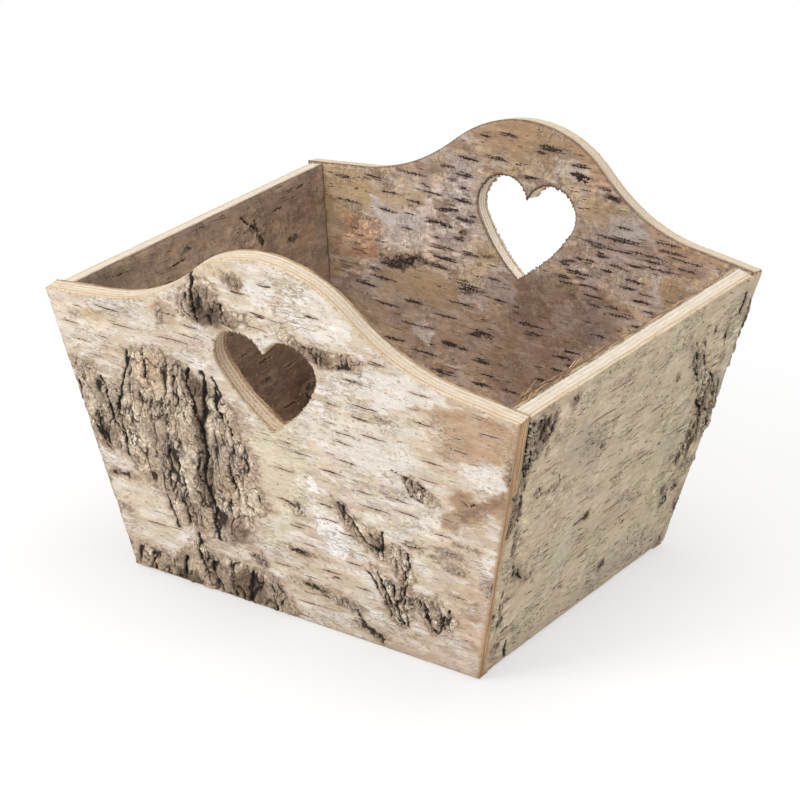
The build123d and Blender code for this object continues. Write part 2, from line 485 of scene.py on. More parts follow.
class Sheet:
    """One sheet of bark on a wall. A point on it is x across, s up the slope and h above
    the board that carries it, in mm."""

    def __init__(self, node, plane, depth, look, grain, seed, flap=None):
        wall = node.split("_")[0]
        origin, across, up, outward = (np.array(v, float) for v in plane)
        self.node = node
        self.across, self.up = across, up
        self.normal = outward if depth == 0 else -outward
        board = BARK if depth == 0 else BARK + CORE
        self.origin = origin - outward * board
        # The sheet's own turn: whether across, up and the normal are right-handed
        self.turn = np.dot(np.cross(across, up), self.normal) > 0
        # A flap is a patch of the same bark that lies over the sheet's edge and its neighbour
        self.flap = flap is not None
        self.foot = FLAP_FOOT if self.flap else 0
        outline = end_loop if wall in hearts else side_loop
        self.loop = flap if self.flap else outline(grain, depth)
        self.coarse = flap[::4] if self.flap else outline(COARSE_STEP, depth)
        self.hole = heart_loop(hearts[wall], HOLE_STEP) if wall in hearts else None
        self.coarse_hole = heart_loop(hearts[wall], COARSE_HOLE_STEP) if wall in hearts else None
        self.look = look
        self.grain = grain
        self.noise = Noise(seed)
        self.rng = np.random.default_rng(seed)

    def place(self, x, s, h):
        """Points in metres."""
        x, s, h = (np.asarray(v, float)[:, None] for v in (x, s, h))
        return (self.origin + x * self.across + s * self.up + h * self.normal) * MM

    def worn(self, loop, teeth):
        """A loop bitten into the sheet, which lies on its left."""
        n = self.noise
        along = np.roll(loop, -1, axis=0) - np.roll(loop, 1, axis=0)
        along = along / np.linalg.norm(along, axis=1)[:, None]
        side = np.c_[-along[:, 1], along[:, 0]]
        chips = ramp(n.layers(loop[:, 0] / 1.1, loop[:, 1] / 1.1 + 6, 2), 0.1, 0.9)
        wander = 0.5 + 0.5 * n.layers(loop[:, 0] / 6, loop[:, 1] / 6 + 33, 3)
        bite = self.look.get("bite", 0.35) * (0.35 * wander + 1.4 * chips)
        if teeth:
            # Saw teeth that stand out over the cut-out
            run = np.cumsum(np.linalg.norm(loop - np.roll(loop, 1, axis=0), axis=1))
            phase = run / TOOTH_STEP + 1.1 * n.at(run / 4, run * 0)
            saw = 1 - (phase - np.floor(phase))
            reach = 0.35 + 0.75 * ramp(n.at(run / 13, run * 0 + 5), -0.3, 0.3)
            bite = 0.5 * bite - reach * (1 - saw)
        else:
            along_top = ramp(loop[:, 1], loop[:, 1].max() - 1.0, loop[:, 1].max() - 0.2)
            bite = bite * (1 - along_top * self.look.get("rise", 0))
        return loop + side * bite[:, None]

    def grid(self, rims, coarse):
        """Points within the rims, a grain apart in rows, each a little astray."""
        g = self.grain
        rim = np.vstack(rims)
        low, high = rim.min(axis=0), rim.max(axis=0)
        rows = []
        for k, row in enumerate(np.arange(low[1], high[1], g * ROW_STEP)):
            across = np.arange(low[0] + k % 2 * g / 2, high[0], g)
            rows.append(np.c_[across, np.full(len(across), row)])
        grid = np.vstack(rows)
        grid = grid + self.rng.uniform(-JITTER * g, JITTER * g, grid.shape)
        return grid[self.clearance(rims, coarse, grid) > RIM_GAP * g]

    def build(self):
        """The sheet as a closed mesh that stands for its CAD node."""
        loops, coarse = [self.loop], [self.coarse]
        if self.hole is not None:
            loops.append(self.hole[::-1])
            coarse.append(self.coarse_hole[::-1])
        rims = [self.worn(loop, k > 0) for k, loop in enumerate(loops)]
        edges = []
        for loop in loops:
            start, count = len(edges), len(loop)
            edges += [(start + k, start + (k + 1) % count) for k in range(count)]
        flat = np.vstack([*rims, self.grid(rims, coarse)])
        flat, faces = self.triangles(flat, edges, rims)
        x, s = flat.T
        height, colour, cork, rough, crack, splits = survey(self.noise, self.look, x, s)
        edge = self.clearance(rims, coarse, flat)
        height = height - 0.38 * ramp(edge, 0.9, 0.0) * (1 + ramp(rough, -0.1, 0.9))
        # Inside the basket the sheet darkens towards its rims, painted shade for the dark seams in the
        # corners; outside its rims turn tan
        if "inner" in self.node:
            colour = mix(colour, (88, 70, 57), 0.8 * ramp(edge, 0.8, 0.3))
        else:
            colour = mix(colour, RIM_COLOUR, 0.5 * ramp(edge, 0.8, 0.1))
        if self.flap:
            # Its inner edge sinks into the sheet
            height = height - 0.25 + (0.25 + FLAP_RISE) * ramp(np.abs(x) - side_reach(s), -2.4, -0.3)
        height = np.maximum(height, self.foot + 0.1)

        # The back lies on the board, and quads join the two along each rim
        back_flat, back_faces = self.triangles(np.vstack(loops), edges, loops)
        rest = len(back_flat)
        front = self.place(x, s, height)
        back = self.place(*back_flat.T, np.full(rest, self.foot))
        base = len(front)
        polygons = faces.tolist() + (back_faces[:, ::-1] + base).tolist()
        polygons += [(b, a, base + a, base + b) for a, b in edges]
        if not self.turn:
            polygons = [p[::-1] for p in polygons]
        name = self.node + ("_flap" if self.flap else "_relief")
        mesh = new_mesh(name, np.vstack([front, back]).tolist(), polygons)
        everywhere = np.vstack([flat, back_flat])
        dull = flat_colour(rest, RIM_COLOUR)
        none = np.zeros((rest, 3))
        add_layers(
            mesh,
            face_mm=np.c_[everywhere, np.r_[height, np.zeros(rest)]],
            skin=opaque(np.vstack([colour, dull])),
            cork=opaque(np.vstack([cork, dull])),
            fields=np.vstack([np.c_[rough, crack, splits[0]], none]),
            nicks=np.vstack([np.c_[splits[1], x * 0, x * 0], none]),
        )
        mesh.materials.append(bark_material(self.node, self.look))
        mesh.materials.append(rim_material(self.node))
        on_front = np.arange(len(polygons)) < len(faces)
        mesh.polygons.foreach_set("material_index", (~on_front).astype(int))
        mesh.polygons.foreach_set("use_smooth", on_front)
        piece = add_piece(name, mesh)
        if not self.flap:
            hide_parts(self.node)

    def clearance(self, rims, coarse, points):
        """Distance from each point to the nearest rim, inside the sheet."""
        x, s = points[:, 0], points[:, 1]
        depth = depth_near(rims[0], coarse[0], x, s)
        if len(rims) > 1:
            depth = np.minimum(depth, -depth_near(rims[1], coarse[1], x, s))
        return depth

    def triangles(self, points, edges, rims):
        """Triangles between the points that lie inside the outline and outside the hole."""
        spots, _, faces, *_ = delaunay_2d_cdt([Vector(p) for p in points.tolist()], edges, [], 0, 1e-5, False)
        points, faces = np.array([tuple(p) for p in spots]), np.array(faces)
        doubtful = (faces < len(edges)).all(axis=1)
        middle = points[faces[doubtful]].mean(axis=1)
        keep = inside(rims[0], middle[:, 0], middle[:, 1])
        if len(rims) > 1:
            keep &= ~inside(rims[1], middle[:, 0], middle[:, 1])
        kept = ~doubtful
        kept[doubtful] = keep
        return points, faces[kept]

    def strands(self):
        """Thin dashes across the trunk: those listed, and strays at random."""
        rng, look = self.rng, self.look
        low, high = self.loop.min(axis=0), self.loop.max(axis=0)
        marks = list(look["dashes"])
        # Strays keep to some parts of the sheet, and leave others almost bare
        count = look["strays"]
        spots = rng.uniform(low, high, (3 * count, 2))
        crowd = self.noise.layers(spots[:, 0] / 16 + 50, spots[:, 1] / 11, 3)
        crowd = crowd + rng.normal(0, 0.14, len(spots))
        for x, s in spots[np.argsort(-crowd)[:count]]:
            length = rng.uniform(*look.get("stray_length", (1.6, 7.5)))
            marks.append((x, s, length, rng.uniform(*look.get("stray_width", (0.18, 0.42)))))
        # A thick one is a bundle of thin ones
        strands = []
        for x, s, length, width in marks:
            if width < BUNDLE_WIDTH:
                strands.append((x, s, length, width))
                continue
            for _ in range(round(3 + 2 * width)):
                part = length * rng.uniform(0.25, 0.8)
                shift = rng.uniform(-0.5, 0.5) * (length - part)
                rise = rng.normal(0, 0.30) * width
                strands.append((x + shift, s + rise, part, rng.uniform(0.3, 0.62) * width))
        return strands

    def lenticels(self, tone):
        """Corky ridges along the strands, with barbs, where the bark is smooth or they are wide."""
        rng = self.rng
        runs, spots = [], []
        for x, s, length, width in self.strands():
            count = max(6, int(length / LENTICEL_STEP))
            t = np.linspace(-1, 1, count)
            lean = rng.uniform(-0.02, 0.02) * length
            bend = rng.uniform(-0.03, 0.03) * length
            ps = s + lean * t + bend * t * t + 0.10 * width * rng.standard_normal(count)
            # Barbs stand out of a thin line, above and below it
            barbs = rng.random((2, count)) < BARB_SHARE
            barb = rng.uniform(*self.look.get("barbs", (0.9, 1.7)), (2, count))
            size = np.where(barbs, barb, rng.uniform(0.3, 0.75, (2, count)))
            runs.append((count, width, (1 - np.abs(t) ** 2.6) * size, rng.uniform(0.7, 1.3)))
            spots.append(np.c_[x + t * length / 2, ps])
        x, s = np.vstack(spots).T
        height, _, _, rough, *_ = survey(self.noise, self.look, x, s)
        free = depth_in(self.coarse, x, s)
        if self.hole is not None:
            free = np.minimum(free, -depth_in(self.coarse_hole, x, s))
        points, faces, tones, start = [], [], [], 0
        for count, width, swell, shade in runs:
            part = slice(start, start + count)
            start += count
            if free[part].min() < 0.8 or (width < 0.5 and rough[part].mean() > 0.2):
                continue
            px, ps, h = x[part], s[part], height[part]
            low, high = 0.5 * width * swell
            # Four-sided rings: low edge, ridge, high edge and foot
            ring = np.stack([
                self.place(px, ps - low, h - 0.02),
                self.place(px, ps, h + 0.05 + 0.06 * swell[0]),
                self.place(px, ps + high, h - 0.02),
                self.place(px, ps, h - 0.35),
            ], axis=1)
            base = len(points)
            points += [tuple(p) for p in ring[1:-1].reshape(-1, 3)]
            tip = len(points)
            points += [tuple(ring[0, 1]), tuple(ring[-1, 1])]
            last = base + 4 * (count - 3)
            for m in range(4):
                after = (m + 1) % 4
                for row in range(base, last, 4):
                    faces.append((row + m, row + after, row + after + 4, row + m + 4))
                faces.append((base + after, base + m, tip))
                faces.append((last + m, last + after, tip + 1))
            tones += [shade] * (len(points) - base)
        if self.turn:
            faces = [f[::-1] for f in faces]
        name = self.node + "_lenticels"
        mesh = new_mesh(name, points, faces)
        add_layers(mesh, tone=np.array(tones))
        mesh.materials.append(lenticel_material(name, tone))
        add_piece(name, mesh)


def bark_chips(sheet, spots):
    """Crumbs of cork on a sheet, across its edge where it has one near. Each spot gives x, s,
    half sizes, thickness and height of its foot above the board."""
    n, rng = sheet.noise, sheet.rng
    around, rings = 18, (0.0, 0.4, 0.72, 0.93, 1.0)
    turn = np.arange(around) * 2 * pi / around
    points, faces, places, skins = [], [], [], []
    for cx, cs, rx, rs, thick, foot in spots:
        ragged = 1 + 0.30 * n.layers(np.cos(turn) * 1.1 + cx, np.sin(turn) * 1.1 + cs, 3)
        tip = rng.uniform(-0.3, 0.3)
        xs, ss, hs = [cx], [cs], [foot + thick]
        for r in rings[1:]:
            px = cx + r * rx * ragged * np.cos(turn)
            ps = cs + r * rs * ragged * np.sin(turn)
            dome = thick * (1 - r ** 3) * (1 + tip * np.cos(turn))
            dome = dome * (1 + 0.5 * n.layers(px / 0.9, ps / 1.1, 3))
            xs, ss, hs = np.r_[xs, px], np.r_[ss, ps], np.r_[hs, foot + np.maximum(dome, 0.0)]
        base = len(points)
        points += [tuple(p) for p in sheet.place(xs, ss, hs)]
        faces += [(base, base + 1 + k, base + 1 + (k + 1) % around) for k in range(around)]
        for ring in range(len(rings) - 2):
            a = base + 1 + ring * around
            for k in range(around):
                after = (k + 1) % around
                faces.append((a + k, a + around + k, a + around + after, a + after))
        last = base + 1 + (len(rings) - 2) * around
        faces.append(tuple(last + k for k in range(around))[::-1])
        places.append(np.c_[xs, ss, hs])
        tone = mix(flat_colour(1, (192, 174, 148)), (92, 76, 62), np.array([rng.uniform(0, 1) ** 1.6]))
        fine = n.layers(xs / 1.1 + 3, ss / 1.1, 3)
        skins.append(tone * (1 + 0.25 * fine)[:, None])
    if not sheet.turn:
        faces = [f[::-1] for f in faces]
    name = sheet.node + "_chips"
    mesh = new_mesh(name, points, faces)
    skin = opaque(np.vstack(skins))
    whole = np.ones(len(skin))
    add_layers(
        mesh, face_mm=np.vstack(places), skin=skin, cork=skin,
        fields=np.c_[3 * whole, 0 * whole, 9 * whole], nicks=np.c_[9 * whole, 0 * whole, 0 * whole],
    )
    mesh.materials.append(bark_material(name, sheet.look))
    mesh.polygons.foreach_set("use_smooth", np.ones(len(faces), bool))
    add_piece(name, mesh)


def bark_fibres(name, roots, colour, seed, thick=(0.07, 0.16), wild=0.45):
    """Torn fibres: thin three-sided slivers that taper and curl. Each root gives a place in mm,
    the direction in which it stands and its length."""
    rng = np.random.default_rng(seed)
    points, faces, tones = [], [], []
    for place, direction, length in roots:
        direction = np.array(direction, float) + rng.normal(0, wild, 3)
        direction /= np.linalg.norm(direction)
        bend = rng.normal(0, wild, 3)
        spots = []
        for t in np.linspace(0, 1, 6):
            spots.append(np.array(place) + direction * length * t + bend * length * 0.4 * t * t)
        side = np.cross(direction, rng.normal(0, 1, 3))
        side /= np.linalg.norm(side)
        other = np.cross(direction, side)
        radius = rng.uniform(*thick)
        base = len(points)
        for k, spot in enumerate(spots[:-1]):
            r = radius * (1 - 0.13 * k)
            for m in range(3):
                angle = 2 * pi * m / 3
                points.append(tuple((spot + r * (cos(angle) * side + sin(angle) * other)) * MM))
        points.append(tuple(spots[-1] * MM))
        for k in range(4):
            for m in range(3):
                a, b = base + 3 * k + m, base + 3 * k + (m + 1) % 3
                faces.append((a, b, b + 3, a + 3))
        tip, last = len(points) - 1, base + 12
        faces += [(last + m, last + (m + 1) % 3, tip) for m in range(3)]
        faces.append((base + 2, base + 1, base))
        tones += [rng.uniform(0.7, 1.5)] * (len(points) - base)
    mesh = new_mesh(name, points, faces)
    add_layers(mesh, tone=np.array(tones))
    mesh.materials.append(lenticel_material(name, colour))
    add_piece(name, mesh)


# Materials

# Pale and deep shade of the plywood's edges, the shades of a heart's sawn edge and their share
PLYWOOD = {"end": ((219, 206, 188), (197, 179, 153)), "side": ((224, 214, 200), (206, 192, 170))}
HEART_EDGES = {
    "front": ((213, 193, 168), (184, 158, 129), 0.7),
    # The back heart's near-white shades are painted light on a sawn edge that lies in shade
    "back": ((254, 246, 232), (244, 228, 204), 0.95),
}
HEART_RING = 26, 24  # from a heart's middle, between which those shades set in
GLUE = (132, 100, 68)
DARK_GLUE = (66, 53, 44)
STAIN_DEPTH = BARK + 3.9  # below the outer face, where the stain of a sawn end turns paler


def rgba(colour):
    """A colour as it looks, in linear light for a material."""
    return (*linear(colour).tolist(), 1.0)


class Nodes:
    """Short ways to add, link and reckon with the nodes of one material."""

    def __init__(self, tree):
        self.tree = tree

    def add(self, kind, **settings):
        node = self.tree.nodes.new("ShaderNode" + kind)
        for key, value in settings.items():
            setattr(node, key, value)
        return node

    def feed(self, socket, value):
        """Links an output to a socket, or writes a constant there."""
        if isinstance(value, bpy.types.NodeSocket):
            self.tree.links.new(value, socket)
        else:
            socket.default_value = value

    def fed(self, node, values):
        """A node whose first inputs take these values."""
        for socket, value in zip(node.inputs, values):
            self.feed(socket, value)
        return node

    def math(self, operation, *values, clamp=False):
        return self.fed(self.add("Math", operation=operation, use_clamp=clamp), values).outputs[0]

    def plus(self, *values):
        total = values[0]
        for value in values[1:]:
            total = self.math("ADD", total, value)
        return total

    def minus(self, first, second):
        return self.math("SUBTRACT", first, second)

    def times(self, first, second):
        return self.math("MULTIPLY", first, second)

    def away(self, value, middle):
        """How far a value lies from the middle of a line, on either side."""
        return self.math("ABSOLUTE", self.minus(value, middle))

    def swing(self, noise, share):
        """Noise from 0 to 1 as a shift to both sides."""
        return self.times(self.minus(noise, 0.5), share)

    def span(self, value, low, high, start=0.0, end=1.0):
        """A smooth step from start to end as the value goes from low to high."""
        node = self.add("MapRange", interpolation_type="SMOOTHSTEP")
        return self.fed(node, (value, low, high, start, end)).outputs[0]

    def attribute(self, name, output):
        return self.add("Attribute", attribute_name=name).outputs[output]

    def object_place(self):
        return self.add("TexCoord").outputs["Object"]

    def parts(self, vector):
        return self.fed(self.add("SeparateXYZ"), [vector]).outputs

    def scaled(self, vector, scale, shift=(0, 0, 0)):
        node = self.add("Mapping")
        for name, value in (("Vector", vector), ("Scale", scale), ("Location", shift)):
            self.feed(node.inputs[name], value)
        return node.outputs[0]

    def dot(self, vector, direction):
        node = self.add("VectorMath", operation="DOT_PRODUCT")
        return self.fed(node, (vector, direction)).outputs["Value"]

    def noise(self, place, scale, detail=3.0, roughness=0.55, shift=(0, 0, 0)):
        """Noise of a place that is first scaled and shifted."""
        node = self.add("TexNoise")
        values = {"Vector": self.scaled(place, scale, shift), "Scale": 1.0, "Detail": detail}
        values["Roughness"] = roughness
        for name, value in values.items():
            self.feed(node.inputs[name], value)
        return node.outputs["Fac"]

    def mix(self, colour, target, share, mode="MIX"):
        """A colour moved towards a target. Plain colours are as they look, 0 to 255."""
        node = self.add("Mix", data_type="RGBA", blend_type=mode)
        self.feed(node.inputs[0], share)
        for socket, value in zip(node.inputs[6:8], (colour, target)):
            self.feed(socket, value if isinstance(value, bpy.types.NodeSocket) else rgba(value))
        return node.outputs[2]

    def toned(self, colour, tone):
        """A colour times a number."""
        grey = self.fed(self.add("CombineColor"), (tone, tone, tone)).outputs[0]
        return self.mix(colour, grey, 1.0, "MULTIPLY")

    def bump(self, height, distance, strength, normal=None):
        """Bump by a distance in mm."""
        node = self.add("Bump")
        values = {"Height": height, "Distance": distance * MM, "Strength": strength}
        if normal is not None:
            values["Normal"] = normal
        for name, value in values.items():
            self.feed(node.inputs[name], value)
        return node.outputs[0]

    def finish(self, shader, colour, roughness, gloss=0.5, normal=None):
        """Gives a shader its colour, roughness, specular level and bump."""
        self.feed(shader.inputs["Base Color"], colour)
        self.feed(shader.inputs["Roughness"], roughness)
        shader.inputs["Specular IOR Level"].default_value = gloss
        if normal is not None:
            self.feed(shader.inputs["Normal"], normal)


def new_material(name):
    """A material, its nodes and its shader."""
    material = bpy.data.materials.new(name)
    material.use_nodes = True
    n = Nodes(material.node_tree)
    return material, n, n.tree.nodes["Principled BSDF"]


def bark_material(name, look):
    """Papery or furrowed bark. The mesh holds the broad colours and where the cork and the
    cracks lie, and nodes draw their crisp edges and the grain."""
    material, n, shader = new_material(name + "_finish")
    place = n.attribute("face_mm", "Vector")
    rough_field, crack_field, split_field = n.parts(n.attribute("fields", "Vector"))
    nick_field = n.parts(n.attribute("nicks", "Vector"))[0]
    streak = n.noise(place, (0.11, 1.15, 0), 4)
    thread = n.noise(place, (0.35, 3.2, 0), 2, shift=(7, 3, 0))
    speck = n.noise(place, (1.9, 2.3, 0), 3, 0.6, (3, 9, 0))
    grit = n.noise(place, (2.6, 3.6, 0), 2, 0.7, (9, 2, 0))
    cork = n.noise(place, (0.95, 0.75, 0), 5, 0.68, (1, 5, 0))
    blotch = n.noise(place, (0.20, 0.42, 0), 6, 0.72, (4, 8, 0))

    # Smooth skin: crisp blotches, grain, fine dark flecks across the trunk and pale ones
    crisp = look.get("crisp", 0.5)
    tone = n.plus(
        n.span(streak, 0.3, 0.7, 0.955, 1.035),
        n.span(speck, 0.3, 0.7, -0.06, 0.06),
        n.span(thread, 0.35, 0.65, -0.03, 0.03),
        n.span(grit, 0.35, 0.65, -0.09 * crisp, 0.09 * crisp),
        n.span(blotch, 0.53, 0.57, 0.0, -0.13 * crisp),
        n.span(blotch, 0.45, 0.42, 0.0, 0.12 * crisp),
    )
    colour = n.toned(n.attribute("skin", "Color"), tone)
    fleck = n.span(n.noise(place, (0.42, 2.6, 0), 1.5, 0.4, (5, 1, 0)), 0.66, 0.72)
    colour = n.mix(colour, (92, 74, 60), n.times(fleck, look.get("fleck", 0.65)))
    chaff = n.span(n.noise(place, (0.9, 1.7, 0), 3, 0.7, (8, 6, 0)), 0.66, 0.70, 0.0, 0.75 * crisp)
    colour = n.mix(colour, look.get("chaff", (236, 224, 206)), chaff)
    # Thin scars with a raised lip; the lip's pale colour is a painted highlight and the dark scar beside it
    # partly painted shadow
    scar_here = n.span(n.noise(place, (0.045, 0.055, 0), 2, shift=(2, 7, 0)), 0.48, 0.60)
    scar_lines = n.noise(place, look.get("scar_size", (0.16, 0.40, 0)), 4, 0.6, (6, 6, 0))
    scar = n.times(n.span(n.away(scar_lines, 0.5), 0.013, 0.005), scar_here)
    lip_and_highlight = n.times(n.span(n.away(scar_lines, 0.522), 0.014, 0.006), scar_here)
    scar_share, scar_colour, lip_highlight = look.get("scars", (0.5, (112, 88, 68), (238, 226, 206)))
    colour = n.mix(colour, lip_highlight, n.times(lip_and_highlight, scar_share * 0.7))
    colour = n.mix(colour, scar_colour, n.times(scar, scar_share))

    # Cork, with open splits and short nicks
    cork_tone = n.plus(n.span(cork, 0.32, 0.66, 0.68, 1.24), n.span(grit, 0.35, 0.65, -0.14, 0.14))
    cork_colour = n.toned(n.attribute("cork", "Color"), cork_tone)
    shred = n.noise(place, (1.5, 0.7, 0), 4, 0.7, (2, 8, 0))
    cork_colour = n.mix(cork_colour, (214, 197, 174), n.span(shred, 0.59, 0.65, 0.0, 0.45))
    astray = n.swing(speck, 0.9)
    split = n.math("ABSOLUTE", n.plus(split_field, astray))
    nick = n.math("ABSOLUTE", n.plus(nick_field, astray))
    gap = n.math("MAXIMUM", n.span(split, 1.7, 0.9), n.times(n.span(nick, 1.5, 0.8), 0.85))
    pit = n.span(n.noise(place, (2.2, 1.5, 0), 2, shift=(2, 2, 0)), 0.62, 0.70)
    cork_colour = n.mix(cork_colour, FURROW, n.times(pit, 0.6))
    cork_colour = n.mix(cork_colour, FURROW, n.span(split, 5.0, 1.5, 0.0, 0.36))
    cork_colour = n.mix(cork_colour, DARK_GAP, n.times(gap, 0.78))

    # The cork begins at a torn edge, and cracks run through both
    torn = n.plus(rough_field, n.swing(cork, look.get("fray", 2.6)))
    corky = n.span(torn, 0.25, 0.55)
    colour = n.mix(colour, (128, 106, 88), n.times(n.span(torn, -0.35, 0.3), 0.5))
    colour = n.mix(colour, cork_colour, corky)
    crack = n.plus(crack_field, astray)
    colour = n.mix(colour, FURROW, n.span(crack, 0.1, 0.5, 0.0, 0.45))
    colour = n.mix(colour, BLACK, n.times(n.span(crack, 0.42, 0.62), 0.95))

    roughness = n.plus(n.span(streak, 0.3, 0.7, 0.60, 0.74), n.times(corky, 0.18))
    paper = n.plus(n.times(streak, 0.5), n.times(thread, 0.35), n.times(grit, 0.3))
    paper = n.minus(paper, n.times(n.plus(fleck, scar), 0.4))
    paper = n.times(n.plus(paper, n.times(lip_and_highlight, 0.4)), n.minus(1.0, corky))
    paper_bump = n.bump(paper, look.get("grain", 0.35), 0.8)
    furrows = n.minus(n.plus(cork, n.times(speck, 0.5)), n.times(gap, 0.6))
    cork_bump = n.bump(n.times(furrows, corky), 1.2, 0.9, paper_bump)
    n.finish(shader, colour, roughness, 0.32, cork_bump)
    return material


def rim_material(name):
    """Cut edge of a bark sheet, in thin layers: brown inside the basket, cream and tan outside."""
    material, n, shader = new_material(name + "_rim")
    place = n.attribute("face_mm", "Vector")
    x, s, height = n.parts(place)
    layers = n.noise(place, (0.12, 0.12, 2.6), 2)
    speck = n.noise(place, (0.9, 0.9, 0.9), 3)
    if "inner" in name:
        colour = n.mix((188, 160, 124), (120, 96, 74), n.span(layers, 0.4, 0.6))
        colour = n.mix(colour, (92, 72, 58), n.span(height, 0.75, 1.0, 0.0, 0.7))
    else:
        colour = n.mix((218, 202, 177), (198, 174, 144), n.span(layers, 0.4, 0.6))
        colour = n.mix(colour, (208, 193, 170), n.span(height, 0.75, 1.0, 0.0, 0.8))
        # The upright ends of an end wall are stained
        reach = n.minus(n.math("ABSOLUTE", x), n.times(s, END_FLARE))
        end = n.span(reach, BASE_WIDTH / 2 - 0.9, BASE_WIDTH / 2 - 0.6, 0.0, 0.7)
        colour = n.mix(colour, (178, 132, 90), end)
    colour = n.mix(colour, (132, 104, 76), n.span(speck, 0.56, 0.70, 0.0, 0.6))
    bump = n.bump(n.plus(layers, speck), 0.25, 0.6)
    n.finish(shader, colour, n.span(speck, 0.3, 0.7, 0.68, 0.82), 0.3, bump)
    return material


def lenticel_material(name, colour):
    """Dark corky ridge with a worn top."""
    material, n, shader = new_material(name + "_finish")
    speck = n.noise(n.object_place(), (1400, 1400, 1400), 2)
    worn = n.mix(colour, (128, 106, 86), n.span(speck, 0.45, 0.7, 0.0, 0.45))
    shade = n.toned(worn, n.attribute("tone", "Fac"))
    n.finish(shader, shade, n.span(speck, 0.3, 0.7, 0.75, 0.9), 0.25, n.bump(speck, 0.2, 0.6))
    return material


def board_material(name, outward, foot, along, up):
    """Plywood board. Its edges show the plies, by depth below the wall's outer face."""
    material, n, shader = new_material(name + "_plywood")
    place = n.scaled(n.object_place(), (1 / MM, 1 / MM, 1 / MM))
    below = n.plus(n.dot(place, [-c for c in outward]), float(np.dot(outward, foot)))
    below = n.plus(below, n.swing(n.noise(place, (0.05, 0.05, 0.05), 2), 0.9))
    grain = n.noise(place, [0.14 if abs(a) > 0.5 else 1.5 for a in along], 4, 0.6)
    speck = n.noise(place, (0.9, 0.9, 1.6), 3)
    colour = n.mix(*PLYWOOD["end" if name in hearts else "side"], n.span(grain, 0.25, 0.75))
    # Next to the outer bark the wood is tan
    colour = n.mix(colour, (204, 180, 146), n.span(below, BARK + 0.2, BARK + 1.5, 0.55, 0.0))
    # Round a heart the sawn wood has shades of its own (at the back heart painted light), and its glue lines
    # are darker
    darker = 0.65
    if name in hearts:
        shift, rise, _ = hearts[name]
        middle = [foot[k] + shift * along[k] + rise * up[k] for k in range(3)]
        away = n.fed(n.add("VectorMath", operation="DISTANCE"), (place, middle)).outputs["Value"]
        light, dark, share = HEART_EDGES[name]
        ring = n.span(away, *HEART_RING, 0.0, share)
        darker = n.span(away, *HEART_RING, 0.8, 1.25)
        colour = n.mix(colour, n.mix(light, dark, n.span(speck, 0.35, 0.65)), ring)
    # The sawn ends of the end walls are stained orange-brown
    reach = n.math("ABSOLUTE", n.dot(place, along))
    facing = n.math("ABSOLUTE", n.dot(n.add("NewGeometry").outputs["Normal"], along))
    end = n.times(n.span(facing, 0.7, 0.8), n.span(reach, BASE_WIDTH / 2 - 4, BASE_WIDTH / 2 - 2))
    lengthwise = n.fed(n.add("CombineXYZ"), (n.times(n.dot(place, up), 0.09), n.times(below, 1.3)))
    fibre = n.noise(lengthwise.outputs[0], (1, 1, 1), 5, 0.68)
    run = n.noise(lengthwise.outputs[0], (0.9, 0, 0), 3, shift=(0, 3, 0))
    stain = n.mix((208, 166, 120), (156, 114, 78), n.span(fibre, 0.36, 0.66))
    stain = n.mix(stain, (140, 102, 70), n.span(speck, 0.5, 0.7, 0.0, 0.35))
    seam = n.span(n.away(below, BARK + 0.5), 0.5, 0.25, 0.0, 0.8)
    stain = n.mix(stain, (118, 84, 56), n.times(seam, n.span(run, 0.35, 0.55, 0.35, 1.0)))
    stain = n.mix(stain, (198, 170, 122), n.span(below, STAIN_DEPTH, STAIN_DEPTH + 0.2, 0.0, 0.8))
    split = n.span(n.away(below, STAIN_DEPTH), 0.30, 0.14)
    stain = n.mix(stain, FURROW, n.times(split, n.span(run, 0.46, 0.56)))
    colour = n.mix(colour, stain, n.times(end, 0.92))
    # Glue lines: depth, half width, share and colour. One lies under the outer bark, two in the
    # core, and one under the inner bark, which is nearly black on the side walls.
    last = GLUE if name in hearts else DARK_GLUE
    lines = [
        (BARK + 0.3, 0.3, 0.8, GLUE), (BARK + CORE / 3, 0.24, 0.5, GLUE),
        (BARK + CORE * 0.66, 0.3, 0.6, GLUE), (BARK + CORE - 0.3, 0.35, 0.85, last),
    ]
    for middle, half, share, shade in lines:
        line = n.span(n.away(below, middle), half, half * 0.3)
        line = n.times(n.times(line, n.span(speck, 0.3, 0.62, 0.35, 1.0)), share)
        line = n.math("MULTIPLY", line, darker if shade is GLUE else 1.0, clamp=True)
        colour = n.mix(colour, shade, line)
    pores = n.noise(place, [0.5 if abs(a) > 0.5 else 2.6 for a in along], 2, shift=(4, 4, 4))
    colour = n.mix(colour, (140, 110, 80), n.span(pores, 0.64, 0.72, 0.0, 0.55))
    bump = n.bump(n.plus(grain, n.times(speck, 0.6)), 0.3, 0.7)
    n.finish(shader, colour, n.span(grain, 0.3, 0.7, 0.62, 0.78), 0.3, bump)
    return material


